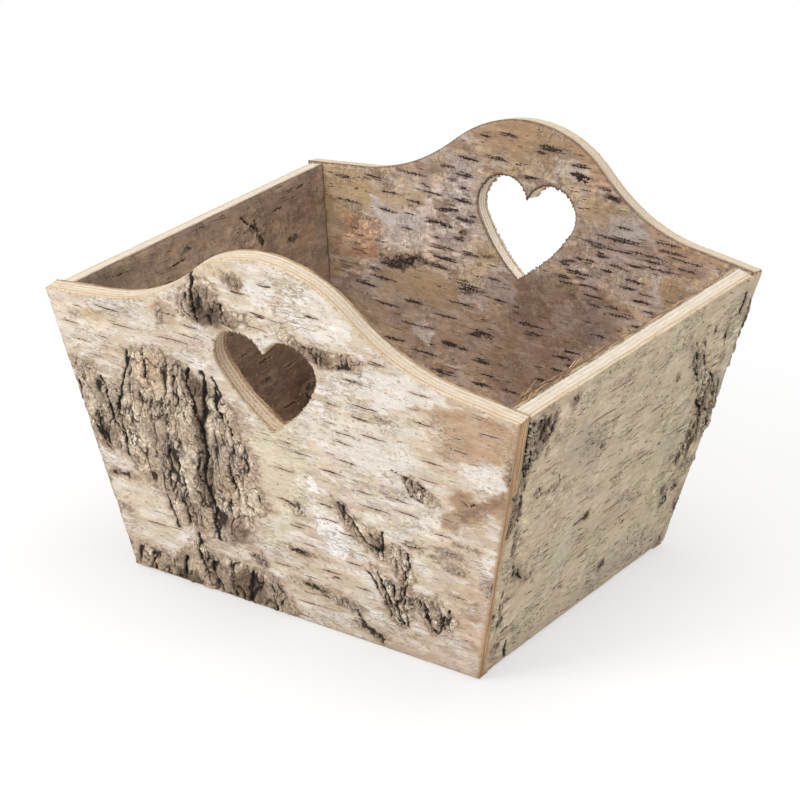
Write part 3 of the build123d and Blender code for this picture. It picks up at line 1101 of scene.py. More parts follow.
def base_material():
    """Face of the bare plywood base."""
    material, n, shader = new_material("base_board_plywood")
    place = n.scaled(n.object_place(), (1 / MM, 1 / MM, 1 / MM))
    grain = n.noise(place, (0.06, 2.2, 0.3), 5, 0.65)
    band = n.noise(place, (0.010, 0.05, 0.1), 2, shift=(3, 0, 0))
    bend = n.noise(place, (0.007, 0.020, 0.05), 3, 0.5)
    rings = n.plus(n.times(n.dot(place, (0, 1, 0)), 0.35), n.times(bend, 42.0))
    pores = n.noise(place, (0.18, 3.2, 1.0), 2, shift=(4, 4, 4))
    colour = n.mix((224, 205, 172), (206, 183, 146), n.span(grain, 0.3, 0.7))
    colour = n.mix(colour, (196, 166, 126), n.span(band, 0.42, 0.62, 0.0, 0.4))
    colour = n.mix(colour, (186, 154, 112), n.span(n.math("SINE", rings), 0.1, 1.0, 0.0, 0.42))
    colour = n.mix(colour, (152, 120, 86), n.span(pores, 0.60, 0.70, 0.0, 0.5))
    n.finish(shader, colour, n.span(grain, 0.3, 0.7, 0.6, 0.76), 0.3, n.bump(grain, 0.2, 0.6))
    return material


def steel_material():
    """Drawn steel wire of the brads."""
    material, n, shader = new_material("brad_steel")
    scratch = n.noise(n.object_place(), (900, 900, 2500), 2)
    colour = n.mix((150, 150, 148), (186, 186, 182), n.span(scratch, 0.3, 0.7))
    n.finish(shader, colour, n.span(scratch, 0.3, 0.7, 0.32, 0.5))
    shader.inputs["Metallic"].default_value = 1.0
    return material


def dress(node, material):
    """Gives a CAD node one finish all over."""
    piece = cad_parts[node]
    piece.data.materials.clear()
    piece.data.materials.append(material)


# Looks of the sheets. Places are x across and s up the slope in mm, read off the bark.
# A colour's share says how far it covers what lies below it.
#
# Smooth skin:
# base: its colour. mottle: blotches by colour, size across, size up, noise from which they set
# in, noise where they are full, share. again: share of the same blotches over the tints.
# tints: ovals of colour by x, s, half sizes, colour, share. peels: patches with a torn edge by
# outline, colour, share, step in height. flakes: strength of the thin flakes. scurf: noise from
# which brown scurf sets in. scaly: ovals of lifted flakes by x, s, half sizes, share.
# breath: colour round a lenticel. crisp: strength of the fine blotches. fleck: share of the dark
# flecks. chaff: colour of the pale ones. scars: share, colour and lip colour of thin scars, the lip's
# pale colour a painted highlight, and scar_size how dense they lie. grain: height of the paper's grain in mm.
#
# Cork:
# rough: where the bark is corky, by outline and softness of its edge. scabs: small ovals of
# cork by x, s, half sizes. plates: its light and its dark colour. relief: its height in mm.
# shades: ovals that tint the cork by x, s, half sizes, colour, share. fringe: share of the brown
# specks round it. islands: smooth bark within it. fray: how ragged its edge is.
#
# Marks and edges:
# cracks: line, half width, share. dashes: lenticels by x, s, length, width. strays: how many
# more lie at random, with the ranges stray_length and stray_width. barbs: range of how far
# their barbs stand out. bite: how deep the sheet's edge is worn. rise: how much of that its top
# is spared, and above 1 its top stands up. swells: ovals where the sheet bulges, by x, s, half
# sizes, rise.

front_look = {
    "base": CREAM,
    "flakes": 1.0,
    "relief": 1.6,
    "scurf": 0.47,
    "plates": ((246, 226, 201), (200, 177, 153)),
    "mottle": [
        (PINK, 20, 8, 0.0, 0.12, 0.7), (WHITE, 16, 6, 0.08, 0.14, 0.75), (TAN, 17, 3.5, 0.22, 0.27, 0.5),
        (YELLOW, 12, 6, 0.22, 0.26, 0.6), ((236, 231, 228), 13, 5, 0.24, 0.28, 0.7),
    ],
    "tints": [
        (38, 86, 26, 13, WHITE, 0.7), (-1, 138, 7, 8, (236, 228, 218), 0.8),
        (20, 134, 14, 11, (240, 232, 222), 0.75), (88, 89, 8, 6, WHITE, 0.85), (84, 50, 7, 8, WHITE, 0.85),
        (60, 66, 16, 6, WHITE, 0.5), (-58, 92, 12, 12, (196, 170, 146), 0.5),
        (-84, 106, 14, 8, (226, 212, 196), 0.7), (78, 104, 20, 13, (188, 157, 128), 0.75),
        (89, 110, 7, 2.6, (150, 118, 92), 0.7), (94, 103, 4, 5, (156, 124, 98), 0.7),
        (84, 104, 4, 2, (164, 132, 104), 0.7), (74, 110, 7, 2.0, (160, 130, 104), 0.7),
        (65, 101, 3, 5, (168, 138, 112), 0.7), (70, 94, 5, 2.6, (164, 134, 108), 0.7),
        (88, 97, 4, 1.6, (170, 138, 110), 0.7), (80, 99, 3, 1.4, (166, 136, 110), 0.7),
        (66, 94, 12, 9, TAN, 0.6), (-2, 66, 11, 22, YELLOW, 0.8), (-8, 42, 9, 14, YELLOW, 0.7),
        (12, 22, 18, 12, (202, 186, 160), 0.7), (52, 99, 16, 7, YELLOW, 0.7),
        (72, 42, 12, 24, (202, 176, 150), 0.6), (78, 22, 12, 20, (194, 167, 142), 0.6),
        (70, 46, 4, 3, (140, 116, 96), 0.6), (83, 41, 4, 5, (142, 112, 88), 0.65),
        (80, 33, 4, 2, (150, 122, 98), 0.6), (75, 28, 4, 3, (146, 120, 98), 0.6),
        (82, 26, 3, 4, (152, 124, 100), 0.6), (64, 40, 5, 2, (160, 136, 114), 0.6),
        (74, 14, 6, 2, (150, 124, 102), 0.6), (66, 7, 8, 2, (154, 130, 108), 0.6),
        (52, 5, 34, 6, (192, 170, 150), 0.8), (-68, 31, 11, 8, (214, 198, 174), 0.8),
        (-70, 18, 11, 5, (216, 202, 182), 0.8), (-46, 118, 6, 5, (176, 148, 120), 0.8),
        (80, 75, 15, 8, (188, 156, 126), 0.6), (89, 80, 5, 2.5, (142, 110, 86), 0.75),
        (82, 75, 6, 2.4, (140, 108, 84), 0.75), (75, 70, 5, 2.6, (138, 107, 84), 0.75),
        (69, 65, 4, 3, (150, 120, 96), 0.7), (74, 76, 4, 3, (156, 122, 96), 0.7),
        (-76, 108, 12, 3, (192, 164, 124), 0.7), (-24, 142, 16, 5, (214, 196, 160), 0.8),
        (97, 104, 4, 10, (196, 158, 124), 0.6), (90, 80, 3, 8, (150, 122, 98), 0.6),
    ],
    "peels": [
        ([(22, 111), (30, 116), (42, 119), (56, 120), (70, 116), (76, 112), (66, 110), (54, 107), (40, 107),
         (28, 105)], WHITE, 0.8, 0.10),
        ([(46, 112), (52, 110), (48, 103), (45, 96), (41, 97), (42, 104)], WHITE, 0.9, 0.06),
        ([(3, 64), (8, 67), (14, 65), (15, 61), (10, 59), (5, 61)], (240, 234, 228), 0.95, 0.08),
        ([(13, 51), (19, 52), (25, 47), (26, 38), (22, 34), (16, 37), (12, 44)], (240, 234, 228),
         0.95, 0.08),
        ([(24, 92), (34, 91), (44, 88), (52, 80), (44, 76), (30, 76), (22, 82)], WHITE, 0.6, 0.06),
        ([(66, 113), (70, 100), (68, 90), (84, 92), (96, 98), (98, 108), (90, 113)], (182, 149, 118),
         0.6, -0.1),
        ([(95, 85), (90, 84), (84, 79), (78, 77), (72, 72), (67, 67), (66, 62), (71, 61), (76, 66),
         (82, 70), (88, 75), (93, 79)], (160, 127, 99), 0.6, 0.0),
        ([(92, 84), (87, 80), (81, 77), (76, 73), (72, 68), (74, 67), (79, 71), (85, 75), (90, 79)],
         (132, 101, 78), 0.6, 0.0), ([(72, 79), (78, 81), (79, 77), (74, 75)], (150, 118, 92), 0.5, 0.0),
        ([(76, 92), (90, 95), (95, 88), (88, 84), (78, 86)], WHITE, 0.8, 0.05),
        ([(5, 144), (8, 144), (6, 130), (3, 130)], (198, 176, 150), 0.5, 0.0),
        ([(102, 116), (98.5, 116), (92.5, 82), (88.5, 62), (82.5, 38), (74.5, -2), (78, -2)],
         (194, 158, 120), 0.65, 0.0),
        ([(-10, 84), (2, 84), (10, 78), (10, 54), (2, 50), (-8, 54), (-12, 70)], YELLOW, 0.6, -0.05),
        ([(-108, 110), (-99.0, 106), (-92.9, 84), (-85.2, 48), (-78.8, 18), (-75.6, 2), (-90, 2)],
         (96, 82, 66), 0.7, 0.0),
    ],
    "rough": [
        ([(-93, 86), (-85, 88), (-80, 83), (-74, 78), (-69, 86), (-65, 97), (-58, 100), (-50, 101),
         (-44, 99), (-38, 97), (-33, 95), (-28, 90), (-20, 86), (-17, 76), (-14, 66), (-13, 56), (-8, 46),
         (-15, 41), (-18, 34), (-21, 28), (-28, 25), (-36, 25), (-45, 27), (-52, 26), (-56, 38), (-64, 43),
         (-69, 49), (-76, 51), (-84, 53), (-89, 62), (-92, 74)], 2.2),
        ([(-77, 2), (-74, 10), (-66, 12), (-58, 10), (-50, 13), (-46, 20), (-43, 26), (-40, 20), (-36, 16),
         (-30, 18), (-20, 18), (-12, 16), (-6, 13), (-2, 6), (0, -3), (-78, -3)], 1.6),
        ([(-40, 120), (-38, 127), (-33, 134), (-30, 138), (-25, 136), (-21, 132), (-18, 126), (-13, 126),
         (-9, 127), (-8, 123), (-12, 121), (-18, 120), (-25, 118), (-32, 117)], 1.2),
        ([(-18, 142), (-13, 143), (-9, 139), (-12, 136), (-17, 137)], 1.2),
        ([(3, 124.5), (9, 125), (15, 121.5), (24, 121.5), (33, 122.5), (39, 120), (38, 115.5), (29, 115),
         (21, 113.5), (14, 115.5), (8, 119.5), (4, 121)], 0.7),
        ([(20, 61), (25, 58), (31, 53), (38, 52), (40, 47), (46, 49), (51, 45), (50, 39), (42, 39),
         (33, 42), (26, 48), (21, 55)], 1.1),
        ([(34, 36), (40, 33), (47, 32), (54, 29), (60, 30), (66, 28), (70, 22), (64, 16), (58, 14),
         (52, 22), (49, 16), (44, 12), (40, 16), (38, 24)], 1.5),
        ([(23, 18), (26, 16), (29, 9), (37, 6), (36, 2), (30, 4), (26, 8), (23, 13)], 1.0),
        ([(44, 42), (51, 44), (52, 37), (50, 31), (43, 32)], 1.0),
        ([(51, 79), (56, 79.5), (60, 77), (66, 73), (67, 69.5), (61, 70), (55, 70.5), (52, 75)], 0.6),
        ([(0, 52), (4, 53.5), (8, 52), (7, 48.5), (3, 48), (0, 50)], 0.5),
    ],
    "scabs": [
        (5, 32, 6, 1.4), (-48, 117, 2.0, 4), (67, 52, 5, 1.2), (70, 45, 3, 1.6), (62, 48, 2, 1),
        (96, 92, 2, 6), (-88, 106, 1.2, 1.2), (-75, 41, 7, 1.6), (-86, 44, 3, 2), (-16, 22, 4, 3),
        (75, 57, 4, 1.2), (20, 15, 8, 2), (8, 18, 8, 1.6), (44, 100, 2, 1), (-80, 26, 5, 1.5),
        (86, 40, 4, 4), (54, 50, 4, 1.2),
    ],
    "shades": [
        # The ovals along x -34 to -37 darken the cork beside the main crack: partly its darker colour, partly
        # painted shade
        (-37, 84, 5, 14, (180, 170, 162), 0.35), (-50, 2, 8, 6, (160, 150, 142), 0.9),
        (-40, 6, 42, 10, (226, 219, 211), 0.6), (-20, 122, 11, 5, (176, 165, 157), 0.7),
        (-13, 139, 6, 5, (186, 174, 164), 0.6), (-22, 8, 9, 8, (165, 155, 148), 0.8),
        (-42, 34, 7, 8, (180, 168, 162), 0.5), (-24, 32, 7, 8, (180, 168, 162), 0.6),
        (-55, 91, 8, 8, (255, 238, 220), 0.5), (-26, 52, 5, 6, (255, 242, 220), 0.4),
        (-27, 126, 8, 9, (164, 154, 148), 0.8), (20, 118, 18, 4, (196, 184, 174), 0.8),
        (-34, 88, 5, 8, (172, 160, 150), 0.8), (-35, 72, 3.5, 12, (150, 140, 132), 0.8),
        (-36, 52, 4, 12, (150, 140, 132), 0.8), (-81, 57, 3, 7, (170, 160, 152), 0.8),
        (36, 47, 8, 5, (196, 186, 178), 0.8), (60, 22, 9, 9, (255, 250, 246), 0.5),
    ],
    "cracks": [
        ([(-31.5, 97), (-31.5, 90), (-32.5, 82), (-34.5, 76), (-34, 68), (-33.5, 62), (-35.5, 56),
         (-36, 50), (-34.5, 45), (-33.5, 38), (-34, 31), (-33, 25)], 0.95, 1.0),
        ([(-38, 97), (-39, 91), (-36.5, 84), (-37.5, 78), (-35, 74)], 0.85, 1.0),
        ([(-37, 62), (-39, 54), (-37, 47), (-38, 40)], 0.65, 1.0),
        ([(-28, 96), (-25, 90), (-27, 84)], 0.6, 0.9), ([(-85, 60), (-82, 55), (-80, 51)], 0.6, 1.0),
        ([(-60, 70), (-57, 62), (-58, 54)], 0.35, 0.9), ([(-45, 92), (-44, 84), (-46, 76)], 0.3, 0.9),
        ([(-47, 62), (-48, 52), (-46, 44)], 0.35, 0.9), ([(-22, 80), (-21, 70), (-23, 62)], 0.45, 0.9),
        ([(-26, 46), (-25, 38), (-27, 30)], 0.4, 0.9), ([(-47, 36), (-46, 28)], 0.35, 0.9),
        ([(36, 34), (41, 24), (45, 13)], 0.5, 1.0), ([(48, 32), (47, 24), (48, 14)], 0.45, 0.9),
        ([(66, 27), (63, 21), (61, 15)], 0.4, 0.9), ([(31, 34), (36, 27), (39, 20)], 0.35, 0.9),
        ([(22, 59), (28, 53), (33, 47), (38, 43)], 0.4, 0.9), ([(36, 50), (39, 46), (40, 41)], 0.5, 0.9),
        ([(50, 79), (52, 75), (54, 71), (58, 70)], 0.35, 0.9),
        ([(57, 78), (60, 76.5), (58, 75.5)], 0.3, 0.9), ([(-3, 52.5), (0, 52), (3, 51)], 0.3, 0.9),
        ([(0, 31), (2, 32), (5, 31)], 0.5, 0.9), ([(46, 80), (50, 78.5)], 0.2, 0.8),
        ([(50, 46), (50, 40), (48, 34)], 0.5, 1.0),
        ([(-65, 97), (-67, 88), (-70, 79), (-73, 70)], 0.58, 1.0),
        ([(-73, 72), (-71, 62), (-71, 50)], 0.64, 1.0),
        ([(-79, 82), (-77, 74), (-76, 66), (-72, 60)], 0.70, 1.0),
        ([(-83, 66), (-82, 58), (-79, 53)], 0.6, 0.9), ([(-90, 78), (-89, 68)], 0.70, 0.8),
        ([(-55, 38), (-54, 31), (-52, 25)], 0.58, 1.0), ([(-58, 100), (-58, 88)], 0.39, 0.9),
        ([(-50, 76), (-51, 66), (-52, 54), (-52, 45)], 0.39, 0.9),
        ([(-43, 25), (-43, 14), (-40, 6)], 0.58, 1.0), ([(-50, 12), (-52, 0)], 0.89, 0.9),
        ([(-38, 16), (-36, 0)], 0.64, 1.0), ([(-66, 9), (-65, 0)], 0.58, 0.9),
        ([(-31, 139), (-32, 128), (-31, 118)], 0.76, 1.0), ([(-20, 128), (-19, 120)], 0.39, 0.8),
        ([(43, 30), (44, 22), (46, 14)], 0.51, 1.0), ([(38, 26), (41, 16)], 0.39, 0.9),
        ([(54, 27), (58, 18), (60, 15)], 0.58, 1.0), ([(28, 52), (33, 46), (41, 43)], 0.64, 0.9),
        ([(-27, 92), (-27, 84), (-24, 78)], 0.58, 0.9), ([(-24, 60), (-23, 50)], 0.51, 0.8),
        ([(25, 16), (27, 10), (33, 6)], 0.45, 0.8), ([(-17, 68), (-16, 56)], 0.45, 0.8),
        ([(-11, 12), (-10, 0)], 0.58, 0.9), ([(-20, 15), (-22, 2)], 0.58, 0.9),
        ([(-28, 15), (-29, 2)], 0.58, 0.9), ([(80, 76), (77, 74), (75, 76)], 0.25, 0.8),
        ([(40, 52), (40, 44)], 0.51, 0.8), ([(47, 50), (48, 42)], 0.39, 0.8),
    ],
    "dashes": [
        (-72, 112.5, 12, 0.7), (-90, 102.5, 8, 0.5), (-76, 100, 6, 0.5), (-66, 107, 10, 0.6),
        (-44, 107.5, 16, 0.5), (-35, 115, 8, 0.7), (-36, 111, 9, 0.6), (-29, 108.5, 8, 0.5),
        (-44, 118, 8, 0.7), (-11, 135, 9, 0.9), (0, 141, 7, 1.0), (19, 133.5, 8, 0.9), (-4, 128, 8, 1.6),
        (-5, 122.5, 9, 0.6), (44, 122, 8, 1.0), (61, 114.5, 9, 0.7), (34, 112, 11, 0.9), (21, 108, 9, 0.6),
        (38, 102.5, 11, 0.7), (22, 92, 5, 0.5), (35, 97.5, 11, 0.9), (28, 89, 9, 0.7), (27, 85, 9, 0.7),
        (40, 91, 12, 0.9), (2, 78, 6, 0.6), (28, 77.5, 8, 0.7), (21, 79, 4, 0.5), (9, 75, 8, 0.7),
        (20, 71.3, 9, 0.8), (0, 65.7, 9, 0.8), (33, 66.6, 9, 0.6), (48, 68, 10, 0.5), (51, 63.2, 11, 0.6),
        (38, 61, 13, 0.7), (66, 58.8, 8, 0.6), (17, 56, 8, 0.7), (18, 50, 9, 0.7), (25, 46, 8, 0.7),
        (-2, 52.6, 6, 0.6), (3, 42.5, 7, 0.6), (27, 34, 8, 0.7), (-6, 23, 8, 0.6), (16, 27, 9, 0.8),
        (18, 25, 5, 1.3), (4, 31.5, 7, 1.6), (10, 17.5, 6, 0.6), (13, 15, 5, 1.0), (6, 9.5, 14, 0.5),
        (30, 24, 8, 0.6), (-62, 23, 12, 0.6), (62, 103, 9, 0.6), (88, 106, 9, 0.7), (76, 96, 8, 0.5),
        (64, 88, 10, 0.5), (86, 60, 9, 0.5), (70, 34, 8, 0.6), (2, 3, 9, 0.5), (78, 12, 8, 0.5),
        (-86, 96, 8, 0.5), (-80, 91, 7, 0.5), (62, 80, 8, 0.5), (8, 113.5, 4, 0.6), (24, 100, 6, 0.5),
        (58, 108, 6, 0.4), (8, 36, 6, 0.6), (6, 44, 8, 0.5), (52, 50, 9, 0.7),
    ],
    "strays": 130,
}


right_look = {
    "base": (206, 188, 159),
    "flakes": 0.8,
    "relief": 1.7,
    "plates": ((230, 213, 188), (192, 172, 150)),
    "crisp": 0.6,
    "islands": 0.25,
    "fray": 5.0,
    "fleck": 0.3,
    "again": 0.25,
    "fringe": 0.3,
    "grain": 0.6,
    "scars": (0.85, (84, 70, 56), (230, 216, 190)),
    "scurf": 0.5,
    "scaly": [
        (56, 36, 17, 13, 0.7), (-62, 40, 8, 40, 0.6), (70, 88, 12, 20, 0.6), (-40, 66, 12, 6, 0.5),
        (20, 44, 12, 6, 0.4), (6, 16, 24, 6, 0.4), (40, 66, 10, 8, 0.4),
    ],
    "mottle": [
        ((212, 194, 168), 24, 14, 0.0, 0.1, 0.5), ((194, 180, 146), 18, 9, 0.12, 0.2, 0.55),
        ((192, 170, 150), 14, 8, 0.2, 0.27, 0.5), ((224, 211, 186), 10, 4, 0.22, 0.28, 0.5),
        ((160, 142, 118), 9, 2.2, 0.31, 0.36, 0.5),
    ],
    "tints": [
        (-52, 105, 5, 5, (228, 212, 184), 0.95), (-60, 70, 14, 11, (208, 193, 160), 0.5),
        (-33, 86, 10, 8, (182, 166, 150), 0.7), (20, 12, 22, 9, (186, 171, 154), 0.6),
        (10, 28, 30, 6, (198, 184, 146), 0.6), (-24, 40, 8, 18, (206, 194, 172), 0.6),
        (48, 55, 16, 8, (200, 188, 166), 0.5), (50, 32, 12, 8, (194, 182, 144), 0.6),
        (30, 6, 36, 9, (190, 174, 158), 0.7), (-30, 78, 18, 14, (192, 174, 152), 0.6),
        (0, 12, 60, 18, (222, 206, 180), 0.6), (76, 60, 5, 40, (200, 190, 170), 0.6),
    ],
    "rough": [
        ([(-79, 113), (-73, 112), (-66, 111), (-62, 108), (-58, 107), (-56, 101), (-60, 100), (-63, 95),
         (-69, 90), (-73, 92), (-77, 96)], 1.8),
        ([(-74, 91), (-70, 90), (-69, 84), (-70, 81), (-73, 84)], 1.0),
        ([(-71, 78), (-67, 77), (-66, 70), (-69, 69), (-72, 73)], 1.0),
        ([(-68, 65), (-64, 64), (-63, 59), (-66, 58)], 1.0),
        ([(-77.5, 88), (-73.5, 88), (-72.5, 80), (-71.5, 72), (-71, 63), (-73.5, 62), (-75, 74)], 0.8),
        ([(-69, 30), (-66, 29), (-65, 22), (-67, 21)], 0.7),
        ([(-63, 12), (-59, 12), (-57, 6), (-61, 4)], 0.7),
        ([(-61, 48), (-57, 46), (-52, 40), (-46, 38), (-44, 34), (-50, 35), (-56, 38), (-60, 42)], 1.6),
        ([(38, 101), (42, 98), (47, 94), (49, 97), (53, 93), (57, 85), (61, 80), (66, 77), (71, 75),
         (75, 66), (79, 58), (79, 50), (74, 46), (68, 50), (66, 57), (61, 60), (58, 66), (56, 72), (50, 79),
         (46, 86), (42, 93)], 1.2), ([(80, 98), (83, 103), (86, 98), (85, 86), (81, 85), (80, 92)], 1.0),
    ],
    "scabs": [
        (-50, 73.5, 7, 0.8), (-58, 76, 2, 1.2), (-14, 46.5, 4, 1.4), (54, 25, 3, 3), (-46, 109, 2.5, 2.5),
        (-59, 32, 4, 1.2), (-63, 26, 1.2, 4), (79, 75, 1.5, 4), (36, 87, 1.2, 1.6), (57, 99, 1.6, 2),
        (-56, 40, 3, 1.5), (-48, 36, 1.5, 2), (68, 95, 1, 2), (71, 83, 1, 2), (-15, 78, 1.5, 1),
        (75, 104, 1, 3), (68, 37, 8, 2.5), (52, 30, 2.5, 3), (61, 4, 2, 3), (-53, 14.4, 4, 0.7),
        (-12, 104.5, 7, 0.8), (13, 14, 2, 2), (66, 20, 2, 5), (60, 28, 3, 2),
    ],
    "shades": [
        (-68, 104, 6, 7, (206, 196, 190), 0.8), (-72, 76, 4, 16, (196, 186, 176), 0.8),
        (62, 66, 6, 10, (214, 205, 196), 0.7), (-16, 46, 8, 4, (160, 150, 142), 0.9),
    ],
    "cracks": [
        ([(-51, 10), (-50.5, 6), (-49, 3), (-48.5, -2)], 0.65, 1.0),
        ([(-57, 16.3), (-54, 17.3), (-51, 16.9), (-48, 18.6), (-46, 19.4)], 0.4, 0.9),
        ([(-59, 11.2), (-56, 12.6), (-53, 11.9), (-50, 13.6)], 0.3, 0.9),
        ([(-49, 8.6), (-45, 9.7), (-41, 8.8)], 0.3, 0.8), ([(-73, 88), (-70, 84), (-72, 80)], 0.45, 1.0),
        ([(-71, 79), (-68, 75), (-69.5, 71), (-66, 68)], 0.5, 1.0),
        ([(-62, 63), (-64, 60), (-61, 58)], 0.35, 0.9), ([(-66, 50.4), (-61, 51.7), (-55, 50.8)], 0.3, 0.9),
        ([(-61, 47), (-58, 43), (-55, 40), (-52, 38)], 0.5, 0.9),
        ([(-67, 56), (-65, 52), (-66, 48)], 0.35, 0.9), ([(51, 96), (53, 90), (57, 84)], 0.6, 1.0),
        ([(62, 70), (66, 62), (70, 58)], 0.8, 1.0), ([(73, 72), (75, 62), (77, 54)], 0.7, 1.0),
        ([(63, 66), (63, 60)], 0.8, 0.9), ([(-75, 111), (-74, 105), (-75, 100)], 0.45, 1.0),
        ([(-70, 109), (-68, 103)], 1.0, 1.0), ([(-75, 93), (-70, 91), (-62, 97)], 0.6, 0.9),
        ([(-77, 114), (-75.5, 103), (-73, 92), (-71, 82), (-70, 72)], 0.35, 1.0),
        ([(-69, 110), (-66, 104), (-64, 100)], 0.8, 1.0), ([(-73, 108), (-71, 102)], 0.5, 1.0),
        ([(-64, 108), (-63, 103)], 0.4, 0.9), ([(-60, 106), (-58, 102), (-60, 100)], 0.4, 0.9),
        ([(-70, 99), (-66, 96), (-62, 97)], 0.5, 0.9), ([(-44, 78), (-41, 74), (-44, 71)], 0.35, 0.9),
        ([(-60, 76), (-57, 78), (-54, 74), (-52, 71)], 0.25, 0.9),
        ([(44, 98), (47, 91), (50, 85)], 0.6, 0.9), ([(55, 88), (59, 79), (60, 72)], 0.5, 0.9),
        ([(-67, 111), (-65, 104), (-66, 98)], 0.5, 0.9), ([(-62, 110), (-62, 104), (-60, 101)], 0.4, 0.9),
        ([(-58, 106), (-59, 102)], 0.3, 0.9), ([(-73, 100), (-70, 94), (-71, 90)], 0.5, 0.9),
        ([(-67, 95), (-64, 92)], 0.35, 0.9), ([(-48, 111), (-47, 106)], 0.3, 0.9),
        ([(-43, 111), (-42, 106)], 0.3, 0.9), ([(57, 100), (58, 97)], 0.45, 0.9),
        ([(68, 94), (70, 90)], 0.35, 0.9), ([(71, 84), (72, 81)], 0.35, 0.9),
        ([(67, 66), (72, 58), (74, 52)], 0.5, 0.9), ([(58, 68), (62, 62), (66, 58)], 0.5, 0.9),
        ([(48, 86), (53, 79), (57, 72)], 0.5, 0.9), ([(64, 78), (69, 70), (72, 62)], 0.7, 0.9),
        ([(60, 66), (64, 60), (66, 54)], 0.6, 0.9), ([(70, 56), (74, 51)], 0.7, 0.9),
        ([(78, 62), (79, 52), (78, 44)], 0.8, 0.9), ([(81, 100), (82, 90), (80, 78)], 0.7, 0.9),
        ([(76, 108), (75, 99)], 0.4, 0.9), ([(68, 94), (70, 87)], 0.4, 0.9),
        ([(56, 30), (52, 22)], 0.5, 0.9), ([(-40, 76), (-42, 73), (-46, 71)], 0.3, 0.9),
        ([(-58, 75), (-54, 71)], 0.25, 0.8), ([(-20, 46), (-15, 46.5), (-12, 48)], 0.35, 0.9),
        ([(-28, 34), (-25, 31)], 0.22, 0.8), ([(34, 88), (36, 84)], 0.22, 0.8),
        ([(36, 34), (39, 30)], 0.25, 0.8), ([(12, 15), (14, 12)], 0.3, 0.9),
        ([(31, 18), (33, 15)], 0.25, 0.9), ([(-65, 33), (-63, 27), (-62, 22)], 0.5, 0.9),
        ([(-60.5, 18), (-58, 13)], 0.3, 0.8),
    ],
    "dashes": [
        (-12, 102, 16, 0.5), (-20, 92.5, 20, 0.5), (-10, 87, 14, 0.5), (-55, 84, 10, 0.4),
        (10, 83, 14, 0.5), (25, 78, 12, 0.5), (-18, 56, 8, 0.6), (3, 56.5, 6, 0.6), (25, 57.5, 10, 0.5),
        (48, 59, 12, 0.5), (8, 41.5, 14, 0.5), (20, 33, 10, 0.5), (-20, 20, 8, 0.5), (-36, 92, 5, 0.7),
        (36, 86, 3, 1.2), (35, 58, 3, 1.0), (-22, 73.5, 6, 0.6), (64, 84, 5, 0.6), (68, 92, 4, 1.0),
        (6, 9, 6, 0.6), (-6, 28, 8, 0.6),
    ],
    "strays": 520,
    "stray_length": (0.9, 4.6),
    "stray_width": (0.22, 0.62),
}

